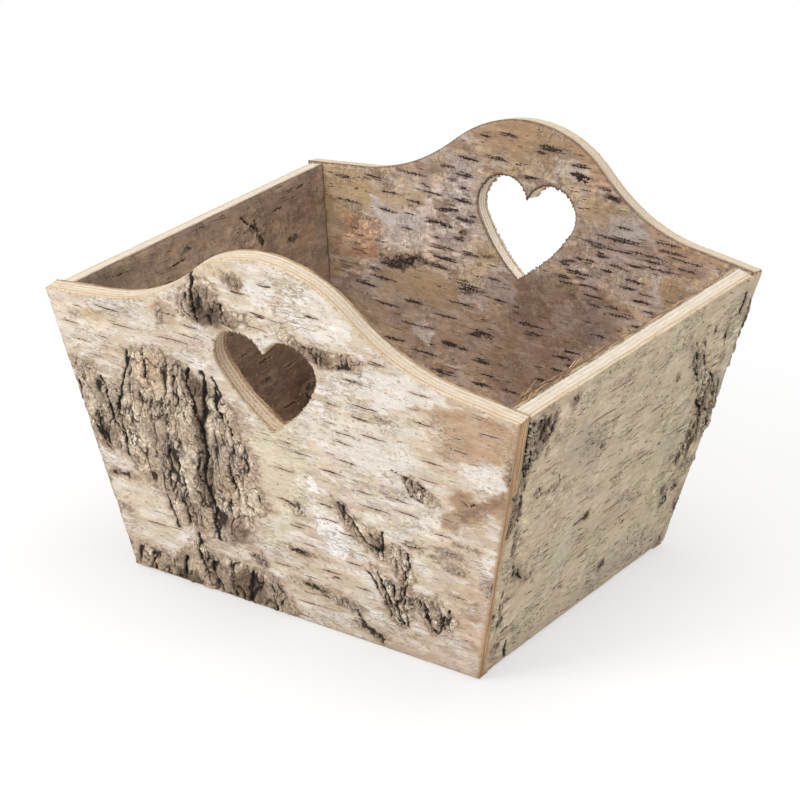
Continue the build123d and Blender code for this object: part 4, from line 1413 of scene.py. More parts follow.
back_look = {
    "base": (209, 184, 154),
    "flakes": 0.8,
    "crisp": 0.9,
    "again": 0.25,
    "breath": (138, 116, 112),
    "chaff": (204, 188, 174),
    "scar_size": (0.34, 0.13, 0),
    "barbs": (1.2, 2.8),
    "scaly": [
        (-30, 106, 12, 20, 0.9), (-50, 90, 14, 7, 0.7), (34, 90, 12, 14, 0.8), (55, 104, 14, 9, 0.6),
        (32, 134, 8, 12, 0.7), (-70, 92, 10, 9, 0.8), (-66, 76, 8, 6, 0.7), (-34, 63, 8, 5, 0.6),
        (30, 62, 10, 8, 0.8), (-25, 50, 10, 5, 0.6), (-56, 112, 6, 5, 0.4), (-14, 72, 8, 4, 0.4),
        (66, 112, 12, 5, 0.6), (-16, 126, 8, 4, 0.5), (30, 112, 6, 8, 0.5),
    ],
    "scars": (0.6, (124, 100, 82), (206, 192, 178)),
    "relief": 0.8,
    "scurf": 0.44,
    "plates": ((150, 130, 112), (96, 80, 68)),
    "mottle": [
        ((186, 160, 126), 24, 12, 0.0, 0.05, 0.6), ((182, 164, 156), 13, 8, 0.08, 0.11, 0.7),
        ((146, 117, 94), 10, 6, 0.17, 0.20, 0.6), ((206, 193, 182), 9, 4, 0.22, 0.25, 0.75),
        ((124, 102, 90), 6, 3, 0.29, 0.32, 0.6),
    ],
    "tints": [
        (-80, 104, 14, 13, (202, 176, 140), 0.6), (-52, 100, 22, 10, (208, 195, 180), 0.7),
        (-28, 112, 11, 18, (190, 176, 166), 0.6), (-38, 102, 22, 19, (228, 212, 198), 0.65),
        (0, 142, 28, 10, (166, 137, 106), 0.7), (30, 138, 7, 10, (184, 146, 112), 0.6),
        (46, 112, 16, 12, (166, 150, 146), 0.7), (62, 100, 4, 14, (176, 160, 154), 0.6),
        (68, 110, 16, 6, (160, 126, 102), 0.6), (40, 94, 4, 9, (156, 116, 84), 0.7),
        (20, 79, 28, 15, (104, 81, 65), 0.78), (38, 80, 12, 9, (134, 114, 108), 0.6),
        (-20, 60, 40, 14, (142, 117, 100), 0.6), (14, 55, 22, 20, (124, 99, 84), 0.7),
        # The last, wide dark oval low on the wall is painted shade near the base
        (-50, 68, 26, 9, (170, 148, 130), 0.6), (0, 16, 110, 24, (104, 83, 70), 0.75),
    ],
    "peels": [
        ([(-92, 115), (-72, 113), (-66, 108), (-52, 112), (-44, 113), (-43, 107), (-52, 104), (-60, 106),
         (-68, 102), (-77, 100), (-84, 90), (-88, 78), (-92, 92)], (194, 167, 129), 0.65, 0.05),
        ([(-69, 107), (-64, 106), (-58, 101), (-49, 103), (-42, 107), (-41, 99), (-50, 97), (-58, 95),
         (-66, 99)], (212, 201, 194), 0.85, 0.06),
        ([(-80, 97), (-70, 98), (-62, 96), (-60, 91), (-64, 84), (-70, 80), (-80, 79), (-83, 84),
         (-79, 90)], (190, 146, 114), 0.5, -0.06),
        ([(-79, 96), (-72, 97), (-74, 92), (-80, 91)], (178, 126, 94), 0.5, 0.03),
        ([(-72, 84), (-64, 87), (-62, 83), (-70, 80), (-79, 80)], (172, 122, 92), 0.55, 0.03),
        ([(-66, 95), (-60, 95), (-60, 90), (-65, 89)], (212, 186, 160), 0.6, 0.03),
        ([(-77, 89), (-73, 90), (-71, 87), (-76, 84), (-80, 85)], (222, 190, 160), 0.8, 0.05),
        ([(-71, 97), (-66, 95), (-63, 88), (-68, 86), (-72, 91)], (206, 166, 138), 0.6, 0.04),
        ([(-58, 96), (-48, 97), (-40, 94), (-40, 88), (-48, 88), (-54, 86), (-62, 89)], (206, 192, 178),
         0.8, 0.05),
        ([(-34, 127), (-26, 128), (-22, 120), (-20, 108), (-22, 96), (-30, 94), (-38, 98), (-36, 108),
         (-32, 117)], (186, 174, 168), 0.6, 0.05),
        ([(-29, 121), (-24, 120), (-23, 112), (-28, 108), (-31, 114)], (216, 204, 192), 0.7, 0.04),
        ([(-40, 112), (-33, 112), (-31, 104), (-38, 103)], (166, 140, 112), 0.6, 0.0),
        ([(-60, 81), (-46, 81), (-40, 84), (-26, 80), (-22, 72), (-30, 69), (-48, 71), (-58, 74)],
         (164, 136, 104), 0.65, 0.04),
        ([(-23, 81), (-13, 81), (-9, 77), (-12, 73), (-22, 73)], (184, 166, 158), 0.8, 0.05),
        ([(-11, 88), (-4, 89), (2, 85), (3, 79), (-6, 78), (-12, 80)], (170, 150, 142), 0.85, 0.04),
        ([(-42, 61), (-36, 62), (-32, 58), (-34, 52), (-38, 54), (-42, 57)], (204, 192, 180), 0.95, 0.06),
        ([(-70, 76), (-62, 78), (-58, 72), (-62, 66), (-70, 67)], (180, 166, 154), 0.6, 0.05),
        ([(-22, 147), (-8, 149), (8, 149), (14, 143), (8, 137), (-6, 135), (-18, 138)], (176, 145, 109),
         0.55, 0.0), ([(12, 138), (22, 139), (29, 135), (22, 131), (14, 132)], (206, 193, 176), 0.85, 0.05),
        ([(14, 150), (28, 146), (40, 134), (36, 130), (26, 138), (14, 144)], (186, 148, 116), 0.55, 0.0),
        ([(28, 128), (40, 126), (42, 120), (34, 116), (28, 118)], (176, 148, 114), 0.55, 0.0),
        ([(38, 121), (50, 121), (56, 117), (48, 112), (38, 114)], (188, 180, 172), 0.65, 0.04),
        ([(34, 100), (48, 103), (58, 96), (46, 90), (32, 93)], (178, 160, 154), 0.6, 0.04),
        ([(59, 110), (63, 110), (64, 92), (60, 92)], (190, 176, 172), 0.75, 0.05),
        ([(64, 103), (74, 104), (72, 95), (64, 93)], (166, 138, 102), 0.6, 0.0),
        ([(20, 82), (28, 84), (30, 74), (22, 72)], (158, 140, 134), 0.5, 0.03),
        ([(54, 122), (70, 118), (88, 116), (88, 112), (70, 113), (56, 117)], (182, 146, 116), 0.55, 0.0),
    ],
    "rough": [
        ([(-61, 84), (-52, 85), (-45, 87), (-44, 82), (-50, 79), (-58, 80)], 1.0),
    ],
    "scabs": [(-24, 101, 2, 1.2), (40, 128, 4, 1.2), (-40, 86, 6, 1.6)],
    "cracks": [],
    "dashes": [
        (-83, 111, 9, 0.9), (-68, 114, 10, 1.0), (-60, 109.3, 9, 0.8), (-50, 119, 14, 0.7),
        (-44, 115.5, 5, 0.9), (-40, 113, 12, 0.9), (-35, 125, 8, 0.8), (-28, 123, 12, 1.1),
        (-26, 118, 8, 1.0), (-26, 113, 12, 1.5), (-34, 108.5, 14, 1.7), (-24, 106, 10, 1.2),
        (-36, 102, 14, 1.6), (-26, 98, 6, 1.4), (-21, 108, 5, 1.0), (-36, 96.5, 6, 0.9), (-20, 93, 10, 1.0),
        (-50, 97, 6, 0.8), (-33, 93, 14, 1.0), (-30, 89, 14, 1.1), (-33, 85, 16, 1.1), (-46, 86, 10, 1.4),
        (-55, 81, 12, 2.0), (-50, 83.5, 10, 1.5), (-63, 78, 10, 0.9), (-58, 75, 14, 0.8),
        (-65, 71, 14, 0.9), (-42, 69, 12, 1.0), (-18, 80, 16, 1.5), (-20, 78, 8, 1.2), (-5, 78, 8, 1.0),
        (3, 77.5, 5, 0.9), (-22, 73, 14, 1.2), (-28, 66.5, 14, 1.1), (-10, 64, 14, 1.7), (-14, 62, 8, 1.2),
        (-40, 60, 16, 0.9), (-22, 55.5, 14, 1.8), (-9, 52.5, 10, 1.6), (-35, 50, 14, 0.9),
        (-6, 48, 10, 1.1), (-50, 52, 12, 0.8), (-55, 65, 16, 0.7), (-25, 44, 14, 1.2), (-20, 140, 7, 0.9),
        (-10, 142.5, 10, 1.2), (10, 141, 16, 1.5), (5, 139, 6, 1.1), (24, 133.5, 12, 1.9),
        (22, 137, 10, 1.2), (2, 128, 12, 1.2), (-14, 132.5, 14, 0.9), (-26, 130, 12, 1.0),
        (-32, 120.5, 6, 0.9), (8, 149, 10, 1.0), (40, 128, 8, 1.6), (35, 131, 8, 1.1), (42, 113, 26, 1.2),
        (38, 109, 30, 1.1), (66, 113, 12, 1.0), (35, 105.5, 12, 1.0), (52, 105, 12, 1.0),
        (75, 108, 14, 0.9), (20, 99, 14, 1.4), (28, 97, 14, 1.6), (22, 94, 12, 1.2), (34, 92.5, 12, 1.0),
        (50, 96, 10, 0.9), (56, 92, 10, 1.0), (36, 86, 8, 0.9), (56, 82, 8, 1.0), (12, 72, 18, 1.1),
        (14, 69, 14, 1.0), (30, 66, 10, 1.2), (26, 63, 10, 1.4), (30, 60.5, 8, 1.0), (25, 57.5, 8, 0.9),
        (20, 52, 10, 0.9), (40, 75, 8, 0.8), (15, 48, 8, 0.8), (30, 102.5, 10, 0.8), (40, 100.5, 8, 0.9),
        (24, 100.5, 9, 1.0), (31, 95, 8, 0.9), (24, 92, 9, 0.8), (36, 89.5, 10, 0.9), (44, 87, 8, 0.8),
        (52, 99, 9, 0.8), (58, 95, 7, 0.7), (60, 88.5, 7, 0.9), (48, 84.5, 10, 0.8), (32, 110.8, 22, 0.7),
        (56, 110, 20, 0.8), (74, 111, 12, 0.7), (62, 105.5, 18, 0.8), (44, 103, 8, 0.7), (28, 115, 8, 0.8),
        (64, 116, 12, 0.7), (5, 44, 10, 0.8), (-8, 43.5, 12, 1.0), (-78, 102, 14, 0.8), (-60, 102, 10, 0.7),
        (-48, 108, 8, 0.8), (-8, 86, 6, 0.8), (60, 108, 14, 0.9), (45, 118, 8, 0.7),
    ],
    "strays": 560,
    "stray_length": (1.0, 6.0),
}

left_look = {
    "base": (170, 145, 125),
    "again": 0.3,
    "flakes": 0.6,
    "crisp": 1.4,
    "bite": 0.1,
    "chaff": (176, 156, 140),
    "scar_size": (0.34, 0.13, 0),
    "barbs": (1.2, 2.8),
    "scaly": [(24, 102, 16, 9, 0.8), (-14, 106, 20, 5, 0.5), (54, 100, 14, 8, 0.6), (10, 56, 14, 6, 0.5)],
    "scars": (0.6, (96, 78, 64), (180, 160, 142)),
    "relief": 0.8,
    "scurf": 0.42,
    "plates": ((140, 122, 106), (90, 76, 66)),
    "mottle": [
        ((158, 133, 112), 24, 10, -0.1, 0.15, 0.6), ((126, 107, 96), 14, 6, 0.05, 0.15, 0.7),
        ((172, 150, 128), 8, 4, 0.2, 0.28, 0.7),
    ],
    "tints": [
        (-55, 108, 16, 5, (116, 108, 88), 0.7), (10, 108, 26, 4, (168, 140, 116), 0.6),
        (55, 104, 16, 8, (130, 106, 92), 0.7), (28, 100, 3, 5, (186, 168, 150), 0.9),
        (-30, 106, 20, 5, (162, 136, 116), 0.6), (70, 88, 5, 6, (156, 142, 130), 0.7),
        # The wide dark oval low down, and the small one in the far corner near the base, are painted shade
        (-12, 103, 46, 9, (196, 172, 152), 0.35), (0, 30, 100, 44, (100, 80, 68), 0.75),
        (6, 62, 16, 9, (132, 110, 96), 0.6), (46, 30, 16, 11, (76, 59, 50), 0.7),
    ],
    "rough": [],
    "scabs": [
        (46, 32, 5, 2), (18, 44, 4, 1.2), (26, 103, 4, 1.5), (31, 97, 2, 3), (-14, 107, 3, 1.2),
        (50, 92, 3, 2),
    ],
    "cracks": [
        ([(40, 36), (43, 29), (44, 23)], 0.4, 0.8), ([(50, 42), (51, 34)], 0.3, 0.8),
        ([(21, 110), (25, 105), (28, 103)], 0.5, 0.8), ([(29, 106), (30, 101), (27, 97)], 0.5, 0.7),
    ],
    "dashes": [
        (20, 52, 10, 0.7), (34, 45, 9, 0.7), (12, 38, 8, 0.7), (50, 50, 9, 0.7), (30, 30, 9, 0.7),
        (8, 58, 8, 0.7), (-20, 104, 10, 0.8), (44, 106, 8, 0.8), (8, 96, 10, 0.8), (60, 110, 7, 0.9),
        (-50, 100, 9, 0.8),
    ],
    "strays": 180,
}

# Walls that the photograph doesn't show get birch of the same kind
plain_outer = {
    "base": CREAM,
    "flakes": 1.0,
    "relief": 1.5,
    "scurf": 0.47,
    "plates": ((236, 216, 192), (190, 168, 146)),
    "mottle": [
        (PINK, 20, 8, 0.0, 0.12, 0.7), (WHITE, 16, 6, 0.10, 0.18, 0.7), (TAN, 19, 3.2, 0.24, 0.32, 0.4),
        (YELLOW, 14, 7, 0.22, 0.28, 0.6),
    ],
    "tints": [
        (-40, 80, 26, 12, WHITE, 0.7), (78, 104, 18, 11, (196, 164, 134), 0.7),
        (-76, 100, 18, 9, WHITE, 0.7), (-8, 76, 18, 9, YELLOW, 0.7),
        (-62, 50, 16, 13, (206, 180, 152), 0.6), (10, 66, 14, 9, PINK, 0.7),
        (72, 20, 12, 12, (198, 170, 142), 0.6), (-14, 26, 22, 11, WHITE, 0.6), (0, 136, 18, 9, WHITE, 0.7),
        (86, 64, 7, 22, (194, 164, 136), 0.6), (-48, 108, 11, 3, (184, 154, 126), 0.7),
        (70, 96, 7, 2.4, (156, 126, 100), 0.7), (84, 108, 6, 2, (154, 122, 96), 0.7),
        (18, 88, 10, 3, (200, 174, 146), 0.6), (-30, 6, 22, 5, (200, 178, 156), 0.6),
        (97, 104, 4, 10, (190, 152, 118), 0.6), (-97, 104, 4, 10, (190, 152, 118), 0.6),
    ],
    "peels": [
        ([(-66, 88), (-54, 93), (-40, 90), (-28, 85), (-31, 79), (-44, 77), (-58, 80)], WHITE, 0.8, 0.08),
        ([(8, 24), (16, 30), (26, 29), (31, 20), (24, 15), (13, 17)], WHITE, 0.85, 0.08),
        ([(-24, 104), (-16, 106), (-14, 96), (-20, 90), (-26, 95)], (238, 230, 222), 0.9, 0.06),
        ([(68, 48), (76, 52), (82, 45), (78, 38), (70, 40)], WHITE, 0.8, 0.06),
        ([(60, 118), (74, 116), (90, 114), (92, 108), (76, 109), (64, 112)], WHITE, 0.7, 0.08),
        ([(-94, 112), (-74, 110), (-60, 104), (-66, 98), (-82, 100), (-92, 104)], (204, 178, 150),
         0.4, -0.06),
    ],
    "rough": [
        ([(34, 96), (41, 98), (48, 95), (54, 88), (57, 78), (63, 71), (64, 60), (60, 52), (62, 43),
         (57, 34), (51, 29), (46, 22), (40, 21), (37, 28), (33, 34), (34, 44), (30, 52), (27, 61), (30, 70),
         (28, 80), (31, 90)], 2.0),
        ([(-79, 22), (-72, 25), (-64, 20), (-60, 12), (-52, 8), (-50, -3), (-78, -3)], 1.6),
        ([(-46, 116), (-40, 120), (-34, 118), (-30, 110), (-34, 104), (-41, 106), (-45, 110)], 1.2),
        ([(-14, 138), (-6, 141), (4, 140), (9, 136), (2, 134), (-8, 134)], 0.8),
        ([(-22, 58), (-14, 60), (-6, 54), (0, 50), (6, 44), (3, 40), (-5, 44), (-12, 50), (-20, 53)], 0.9),
        ([(10, 6), (18, 9), (30, 8), (38, 3), (40, -3), (12, -3)], 1.2),
    ],
    "scabs": [
        (-62, 97, 7, 1.0), (66, 103, 7, 0.9), (2, 24, 7, 1.2), (24, 14, 9, 1.2), (-32, 34, 7, 1.8),
        (-54, 68, 6, 1.2), (78, 60, 2, 6), (-82, 54, 2, 5), (22, 108, 4, 1.2), (-44, 18, 9, 1.2),
    ],
    "shades": [
        (46, 78, 4, 12, (160, 150, 144), 0.8), (45, 42, 4, 14, (160, 150, 144), 0.8),
        (56, 66, 5, 10, (206, 196, 188), 0.7), (-66, 8, 9, 10, (180, 170, 162), 0.8),
        (-38, 112, 5, 6, (180, 170, 162), 0.8),
    ],
    "cracks": [
        ([(46, 96), (45, 86), (47, 76), (44, 66), (46, 56), (44, 46), (46, 36), (44, 26)], 1.1, 1.0),
        ([(38, 94), (36, 84), (37, 72), (35, 64)], 0.6, 1.0),
        ([(54, 86), (55, 74), (53, 62), (55, 52)], 0.6, 1.0), ([(52, 54), (54, 44), (50, 34)], 0.5, 0.9),
        ([(36, 62), (35, 50), (38, 40), (38, 30)], 0.5, 0.9), ([(60, 70), (61, 60)], 0.4, 0.9),
        ([(41, 82), (40, 72)], 0.35, 0.9), ([(50, 74), (49, 64)], 0.3, 0.9),
        ([(-70, 24), (-68, 12), (-70, 0)], 0.8, 1.0), ([(-62, 16), (-60, 6), (-61, -2)], 0.6, 1.0),
        ([(-75, 18), (-74, 8)], 0.4, 0.9), ([(-55, 9), (-54, -2)], 0.5, 0.9),
        ([(-40, 118), (-38, 110), (-40, 105)], 0.6, 1.0), ([(-17, 58), (-8, 51), (1, 45)], 0.5, 1.0),
        ([(20, 8), (22, -2)], 0.5, 0.9), ([(30, 7), (31, -2)], 0.4, 0.9),
    ],
    "dashes": [
        (-84, 92, 9, 0.6), (-70, 106, 10, 0.6), (-52, 100, 8, 0.6), (-64, 84, 12, 0.7), (-38, 96, 9, 0.6),
        (-30, 72, 10, 0.7), (-46, 62, 12, 0.7), (-70, 66, 9, 0.6), (-60, 40, 12, 0.7), (-40, 46, 9, 0.6),
        (-20, 40, 10, 0.7), (-8, 34, 7, 0.8), (-28, 20, 12, 0.6), (-6, 12, 10, 0.7), (-16, 84, 9, 0.7),
        (4, 76, 8, 0.7), (12, 56, 10, 0.8), (16, 40, 8, 0.7), (22, 34, 6, 0.6), (14, 96, 8, 0.6),
        (22, 76, 9, 0.7), (70, 84, 12, 0.7), (80, 92, 9, 0.6), (76, 74, 8, 0.6), (70, 34, 9, 0.6),
        (64, 14, 10, 0.7), (52, 10, 8, 0.6), (-4, 128, 12, 0.8), (22, 124, 9, 0.7), (-26, 126, 8, 0.7),
        (36, 112, 10, 0.7), (50, 104, 8, 0.6), (58, 110, 9, 0.6), (84, 112, 8, 0.6), (6, 144, 7, 0.8),
    ],
    "strays": 150,
}
plain_side = dict(right_look, **{
    "tints": [
        (-40, 60, 22, 14, (214, 200, 176), 0.7), (50, 86, 20, 10, (216, 200, 174), 0.7),
        (20, 30, 24, 12, (196, 178, 156), 0.6), (-20, 100, 26, 8, (192, 174, 150), 0.6),
        (-50, 16, 14, 10, (190, 176, 146), 0.6), (60, 50, 12, 18, (190, 174, 152), 0.6),
    ],
    "rough": [
        ([(-56, 110), (-49, 113), (-43, 107), (-38, 98), (-31, 91), (-27, 81), (-29, 73), (-34, 70),
         (-39, 78), (-43, 88), (-50, 95), (-56, 102)], 1.3),
        ([(45, 56), (51, 52), (57, 43), (61, 31), (59, 20), (53, 15), (48, 24), (46, 36), (42, 46)], 1.4),
        ([(-66, 20), (-58, 23), (-50, 15), (-44, 5), (-52, 1), (-61, 8)], 1.2),
    ],
    "scabs": [
        (2, 72, 7, 0.8), (-18, 30, 6, 0.9), (52, 92, 1.5, 3), (12, 12, 6, 0.9), (-64, 60, 1, 5),
        (73, 100, 1, 6), (-6, 101, 7, 0.7), (-74, 96, 1, 7), (68, 64, 1, 6),
    ],
    "shades": [(-40, 92, 6, 10, (170, 160, 152), 0.8), (54, 34, 5, 12, (170, 160, 152), 0.8)],
    "cracks": [
        ([(-52, 110), (-44, 99), (-38, 88), (-33, 76)], 0.8, 1.0), ([(-48, 98), (-42, 88)], 0.4, 0.9),
        ([(-40, 102), (-33, 90)], 0.4, 0.9), ([(50, 51), (54, 38), (52, 22)], 0.8, 1.0),
        ([(58, 38), (56, 26)], 0.4, 0.9), ([(47, 44), (50, 32)], 0.35, 0.9),
        ([(-60, 20), (-54, 10), (-50, 4)], 0.6, 1.0),
    ],
    "dashes": [
        (-12, 92, 16, 0.5), (8, 84, 12, 0.5), (34, 78, 12, 0.5), (-56, 78, 10, 0.5), (-6, 60, 10, 0.5),
        (16, 66, 8, 0.6), (-30, 50, 12, 0.5), (28, 40, 10, 0.5), (-40, 34, 8, 0.6), (0, 44, 12, 0.5),
        (30, 16, 9, 0.5), (-26, 14, 8, 0.5), (20, 106, 10, 0.5), (44, 110, 8, 0.6), (64, 80, 7, 0.6),
    ],
    "strays": 420,
})
plain_inner = dict(back_look, **{
    "mottle": [
        ((186, 160, 126), 24, 9, 0.0, 0.10, 0.5), ((180, 161, 150), 13, 5, 0.08, 0.16, 0.5),
        ((150, 122, 98), 14, 4, 0.17, 0.26, 0.5), ((204, 190, 176), 9, 2.6, 0.24, 0.29, 0.6),
    ],
    "tints": [
        (-40, 90, 24, 10, (190, 172, 152), 0.6), (40, 60, 26, 12, (150, 124, 100), 0.7),
        # The wide dark oval low on the wall is painted shade near the base
        (0, 30, 110, 34, (132, 108, 90), 0.7), (62, 100, 18, 9, (188, 150, 122), 0.6),
        (-10, 66, 30, 8, (170, 148, 128), 0.6),
    ],
    "peels": [
        ([(-66, 82), (-54, 88), (-42, 84), (-36, 76), (-50, 72), (-62, 74)], (196, 180, 164), 0.7, 0.05),
        ([(28, 84), (40, 90), (54, 86), (50, 78), (36, 76)], (200, 184, 168), 0.7, 0.05),
        ([(-20, 48), (-8, 54), (6, 50), (2, 43), (-14, 42)], (176, 150, 122), 0.6, 0.05),
    ],
    "rough": [],
    "scabs": [(20, 70, 6, 2.0), (-50, 50, 5, 2.0), (54, 96, 5, 1.6)],
    "dashes": [
        (-70, 96, 12, 0.9), (-56, 100, 14, 1.0), (-60, 90, 10, 0.9), (-44, 96, 12, 1.1), (-30, 88, 14, 1.0),
        (-36, 80, 10, 1.2), (-50, 68, 14, 0.9), (-30, 70, 12, 1.0), (-16, 76, 14, 1.2), (-6, 70, 10, 1.0),
        (10, 78, 12, 1.0), (16, 86, 10, 0.9), (28, 72, 14, 1.1), (40, 82, 12, 1.0), (46, 74, 10, 0.9),
        (60, 86, 14, 1.0), (66, 78, 10, 0.9), (54, 64, 12, 1.0), (36, 56, 14, 1.0), (14, 60, 12, 0.9),
        (-4, 56, 14, 1.1), (-24, 58, 10, 1.0), (-42, 54, 12, 0.9), (70, 104, 14, 0.9), (50, 108, 10, 1.0),
        (-72, 78, 10, 0.9), (-20, 44, 12, 1.0), (20, 42, 14, 0.9), (48, 46, 10, 0.9), (-54, 36, 12, 0.9),
    ],
    "strays": 240,
    "stray_length": (1.4, 8.0),
})


# Walls

def end_loop(step, depth):
    """Outline of an end wall's bark, anticlockwise in x and s, at a depth below the outer face."""
    foot = (BARK_LIFT - depth * sin(END_LEAN)) / cos(END_LEAN)
    half_foot = BASE_WIDTH / 2 + foot * END_FLARE
    shoulder = END_SLOPE + SHOULDER_RISE
    arch = rounded(
        [(TOP_WIDTH / 2, END_SLOPE), (SHOULDER_REACH, shoulder), (0, END_SLOPE + GABLE_RISE),
         (-SHOULDER_REACH, shoulder), (-TOP_WIDTH / 2, END_SLOPE)],
        (SHOULDER_RADIUS, CROWN_RADIUS, SHOULDER_RADIUS), step,
    )
    left = spaced(np.array([arch[-1], (-half_foot, foot)]), step)[1:]
    bottom = spaced(np.array([left[-1], (half_foot, foot)]), step)[1:]
    right = spaced(np.array([bottom[-1], arch[0]]), step)[1:-1]
    return np.vstack([arch, left, bottom, right])


def side_reach(s, depth=0):
    """From the middle of a side wall to the inner face of an end wall, up the slope at s."""
    height = s * cos(SIDE_LEAN) + depth * sin(SIDE_LEAN)
    return BASE_DEPTH / 2 + height * tan(END_LEAN) - WALL / cos(END_LEAN)


def side_loop(step, depth):
    """Outline of a side wall's bark between the end walls' inner faces."""
    foot = (BARK_LIFT - depth * sin(SIDE_LEAN)) / cos(SIDE_LEAN)
    top, low = side_reach(SIDE_SLOPE, depth), side_reach(foot, depth)
    corners = [(top, SIDE_SLOPE), (-top, SIDE_SLOPE), (-low, foot), (low, foot)]
    runs = zip(corners, corners[1:] + corners[:1])
    return np.vstack([spaced(np.array(run), step)[:-1] for run in runs])


end_cos, end_sin = cos(END_LEAN), sin(END_LEAN)
side_cos, side_sin = cos(SIDE_LEAN), sin(SIDE_LEAN)
# Origin, across, up and outward of each wall's outer face
walls = {
    "front": ((0, -BASE_DEPTH / 2, 0), (1, 0, 0), (0, -end_sin, end_cos), (0, -end_cos, -end_sin)),
    "back": ((0, BASE_DEPTH / 2, 0), (1, 0, 0), (0, end_sin, end_cos), (0, end_cos, -end_sin)),
    "left": ((-BASE_WIDTH / 2, 0, 0), (0, 1, 0), (-side_sin, 0, side_cos), (-side_cos, 0, -side_sin)),
    "right": ((BASE_WIDTH / 2, 0, 0), (0, 1, 0), (side_sin, 0, side_cos), (side_cos, 0, -side_sin)),
}
hearts = {"front": FRONT_HEART, "back": BACK_HEART}

# The right wall's inner bark has come loose and thick along its top, most of all near the front
torn_inner = dict(plain_inner, bite=0.7, rise=2.2, swells=[
    (-62, 118, 34, 9, 2.2), (-20, 118, 40, 6, 0.8), (20, 118, 16, 5, 0.5),
])

OUTER_LENTICEL = (62, 49, 40)
INNER_LENTICEL = (48, 37, 31)
RIGHT_SEED = 12

# Node, depth of the seen face, look, grain of the mesh in mm and seed
sheets = [
    ("front_outer_bark", 0, front_look, 0.56, 11),
    ("right_outer_bark", 0, right_look, 0.62, RIGHT_SEED),
    ("back_inner_bark", WALL, back_look, 0.62, 13),
    ("left_inner_bark", WALL, left_look, 0.9, 14),
    ("back_outer_bark", 0, plain_outer, 0.75, 15),
    ("left_outer_bark", 0, plain_side, 0.8, 16),
    ("front_inner_bark", WALL, plain_inner, 1.0, 17),
    ("right_inner_bark", WALL, torn_inner, 0.8, 18),
]
made = {}
for node, depth, look, grain, seed in sheets:
    plane = walls[node.split("_")[0]]
    sheet = Sheet(node, plane, depth, look, grain * (1), seed)
    sheet.build()
    sheet.lenticels(OUTER_LENTICEL if depth == 0 else INNER_LENTICEL)
    made[node] = sheet


def flap_loop(left, right, low, high):
    """Outline of a flap between two functions of the height up the slope."""
    rows = np.arange(low, high + 0.01, 0.5)
    across = np.arange(0.1, 0.95, 0.1)
    bottom = [(left(low) + t * (right(low) - left(low)), low) for t in across]
    top = [(right(high) + t * (left(high) - right(high)), high) for t in across]
    return np.array(bottom + [(right(s), s) for s in rows] + top + [(left(s), s) for s in rows[::-1]])


# The right wall's bark laps over the front wall's end below, and over the back wall's end
NEAR_FLAP_REACH = 4.7
NEAR_FLAP_LAP = 2.6  # on the sheet itself
NEAR_FLAP_TOP = 91
FAR_FLAP_LAP = 3.4
FAR_FLAP_BULGE = 60  # height of its bulge up the slope
FLAP_GRAIN = 0.6
right_bark = made["right_outer_bark"]
end_reach = WALL / cos(END_LEAN)


def wave(s):
    """Ragged run of a flap's edge, about -1 to 1."""
    return float(1.4 * right_bark.noise.layers(np.array([s / 8]), np.array([3.5]), 4)[0])


near_flap = flap_loop(
    lambda s: -side_reach(s) - (NEAR_FLAP_REACH + 0.9 * wave(s)) * float(ramp(s, 92.0, 80.0)),
    lambda s: NEAR_FLAP_LAP - side_reach(s), 1.2, NEAR_FLAP_TOP,
)
far_flap = flap_loop(
    lambda s: side_reach(s) - FAR_FLAP_LAP,
    lambda s: (side_reach(s) + end_reach + 0.35 * wave(s)
               + 1.5 * float(ramp(abs(s - FAR_FLAP_BULGE), 16, 2))),
    1.0, SIDE_SLOPE - 0.2,
)
for flap in (near_flap, far_flap):
    Sheet("right_outer_bark", walls["right"], 0, right_look, FLAP_GRAIN, RIGHT_SEED, flap).build()

# Crumbs of cork on the right wall's thickest bark: how many, heights up the slope, the x of a
# crumb at a height, ranges of its half sizes and thickness, and its foot
rng = np.random.default_rng(31)
crumbs = [
    (24, (4, 88), lambda s: rng.uniform(-1.5, 2.5) - side_reach(s),
     ((0.5, 1.2), (0.9, 2.4), (0.3, 0.8)), BARK + 0.4),
    (14, (92, 110), lambda s: rng.uniform(-72, -58),
     ((0.5, 1.0), (1.2, 3.0), (0.4, 0.8)), BARK),
    (44, (42, 74), lambda s: side_reach(s) + rng.uniform(-8, 3.6) - 0.12 * abs(s - 60),
     ((0.4, 0.9), (1.2, 2.8), (0.3, 0.7)), BARK + 0.4),
    (16, (76, 104), lambda s: side_reach(s) + end_reach + rng.uniform(-3.0, -0.4),
     ((0.4, 0.7), (1.0, 2.4), (0.3, 0.6)), BARK + 0.3),
]
spots = []
for count, heights, across, sizes, foot in crumbs:
    for _ in range(count):
        s = rng.uniform(*heights)
        spots.append((across(s), s, *[rng.uniform(*size) for size in sizes], foot))
bark_chips(right_bark, spots)


def spot_on(sheet, x, s, h):
    """A place on a sheet, in mm."""
    return sheet.place([x], [s], [h])[0] / MM


# Shreds that have come loose along the top of its inner bark, more of them near the front
inner = made["right_inner_bark"]
roots = []
for _ in range(84):
    x = -72 + 140 * rng.uniform(0, 1) ** 1.7
    near = float(ramp(x, 20, -60))
    spot = spot_on(inner, x, SIDE_SLOPE + rng.uniform(-0.8, 0.4), rng.uniform(0.1, 1.2 + 2.0 * near))
    way = rng.choice((-1, 1))
    if abs(x + way * 12) > 74:
        way = -way
    roots.append((spot, inner.across * way + inner.up * rng.uniform(0, 0.1 + 0.2 * near), rng.uniform(3, 9)))
bark_fibres("right_inner_bark_shreds", roots, (166, 138, 104), 34, (0.16, 0.4), 0.1)

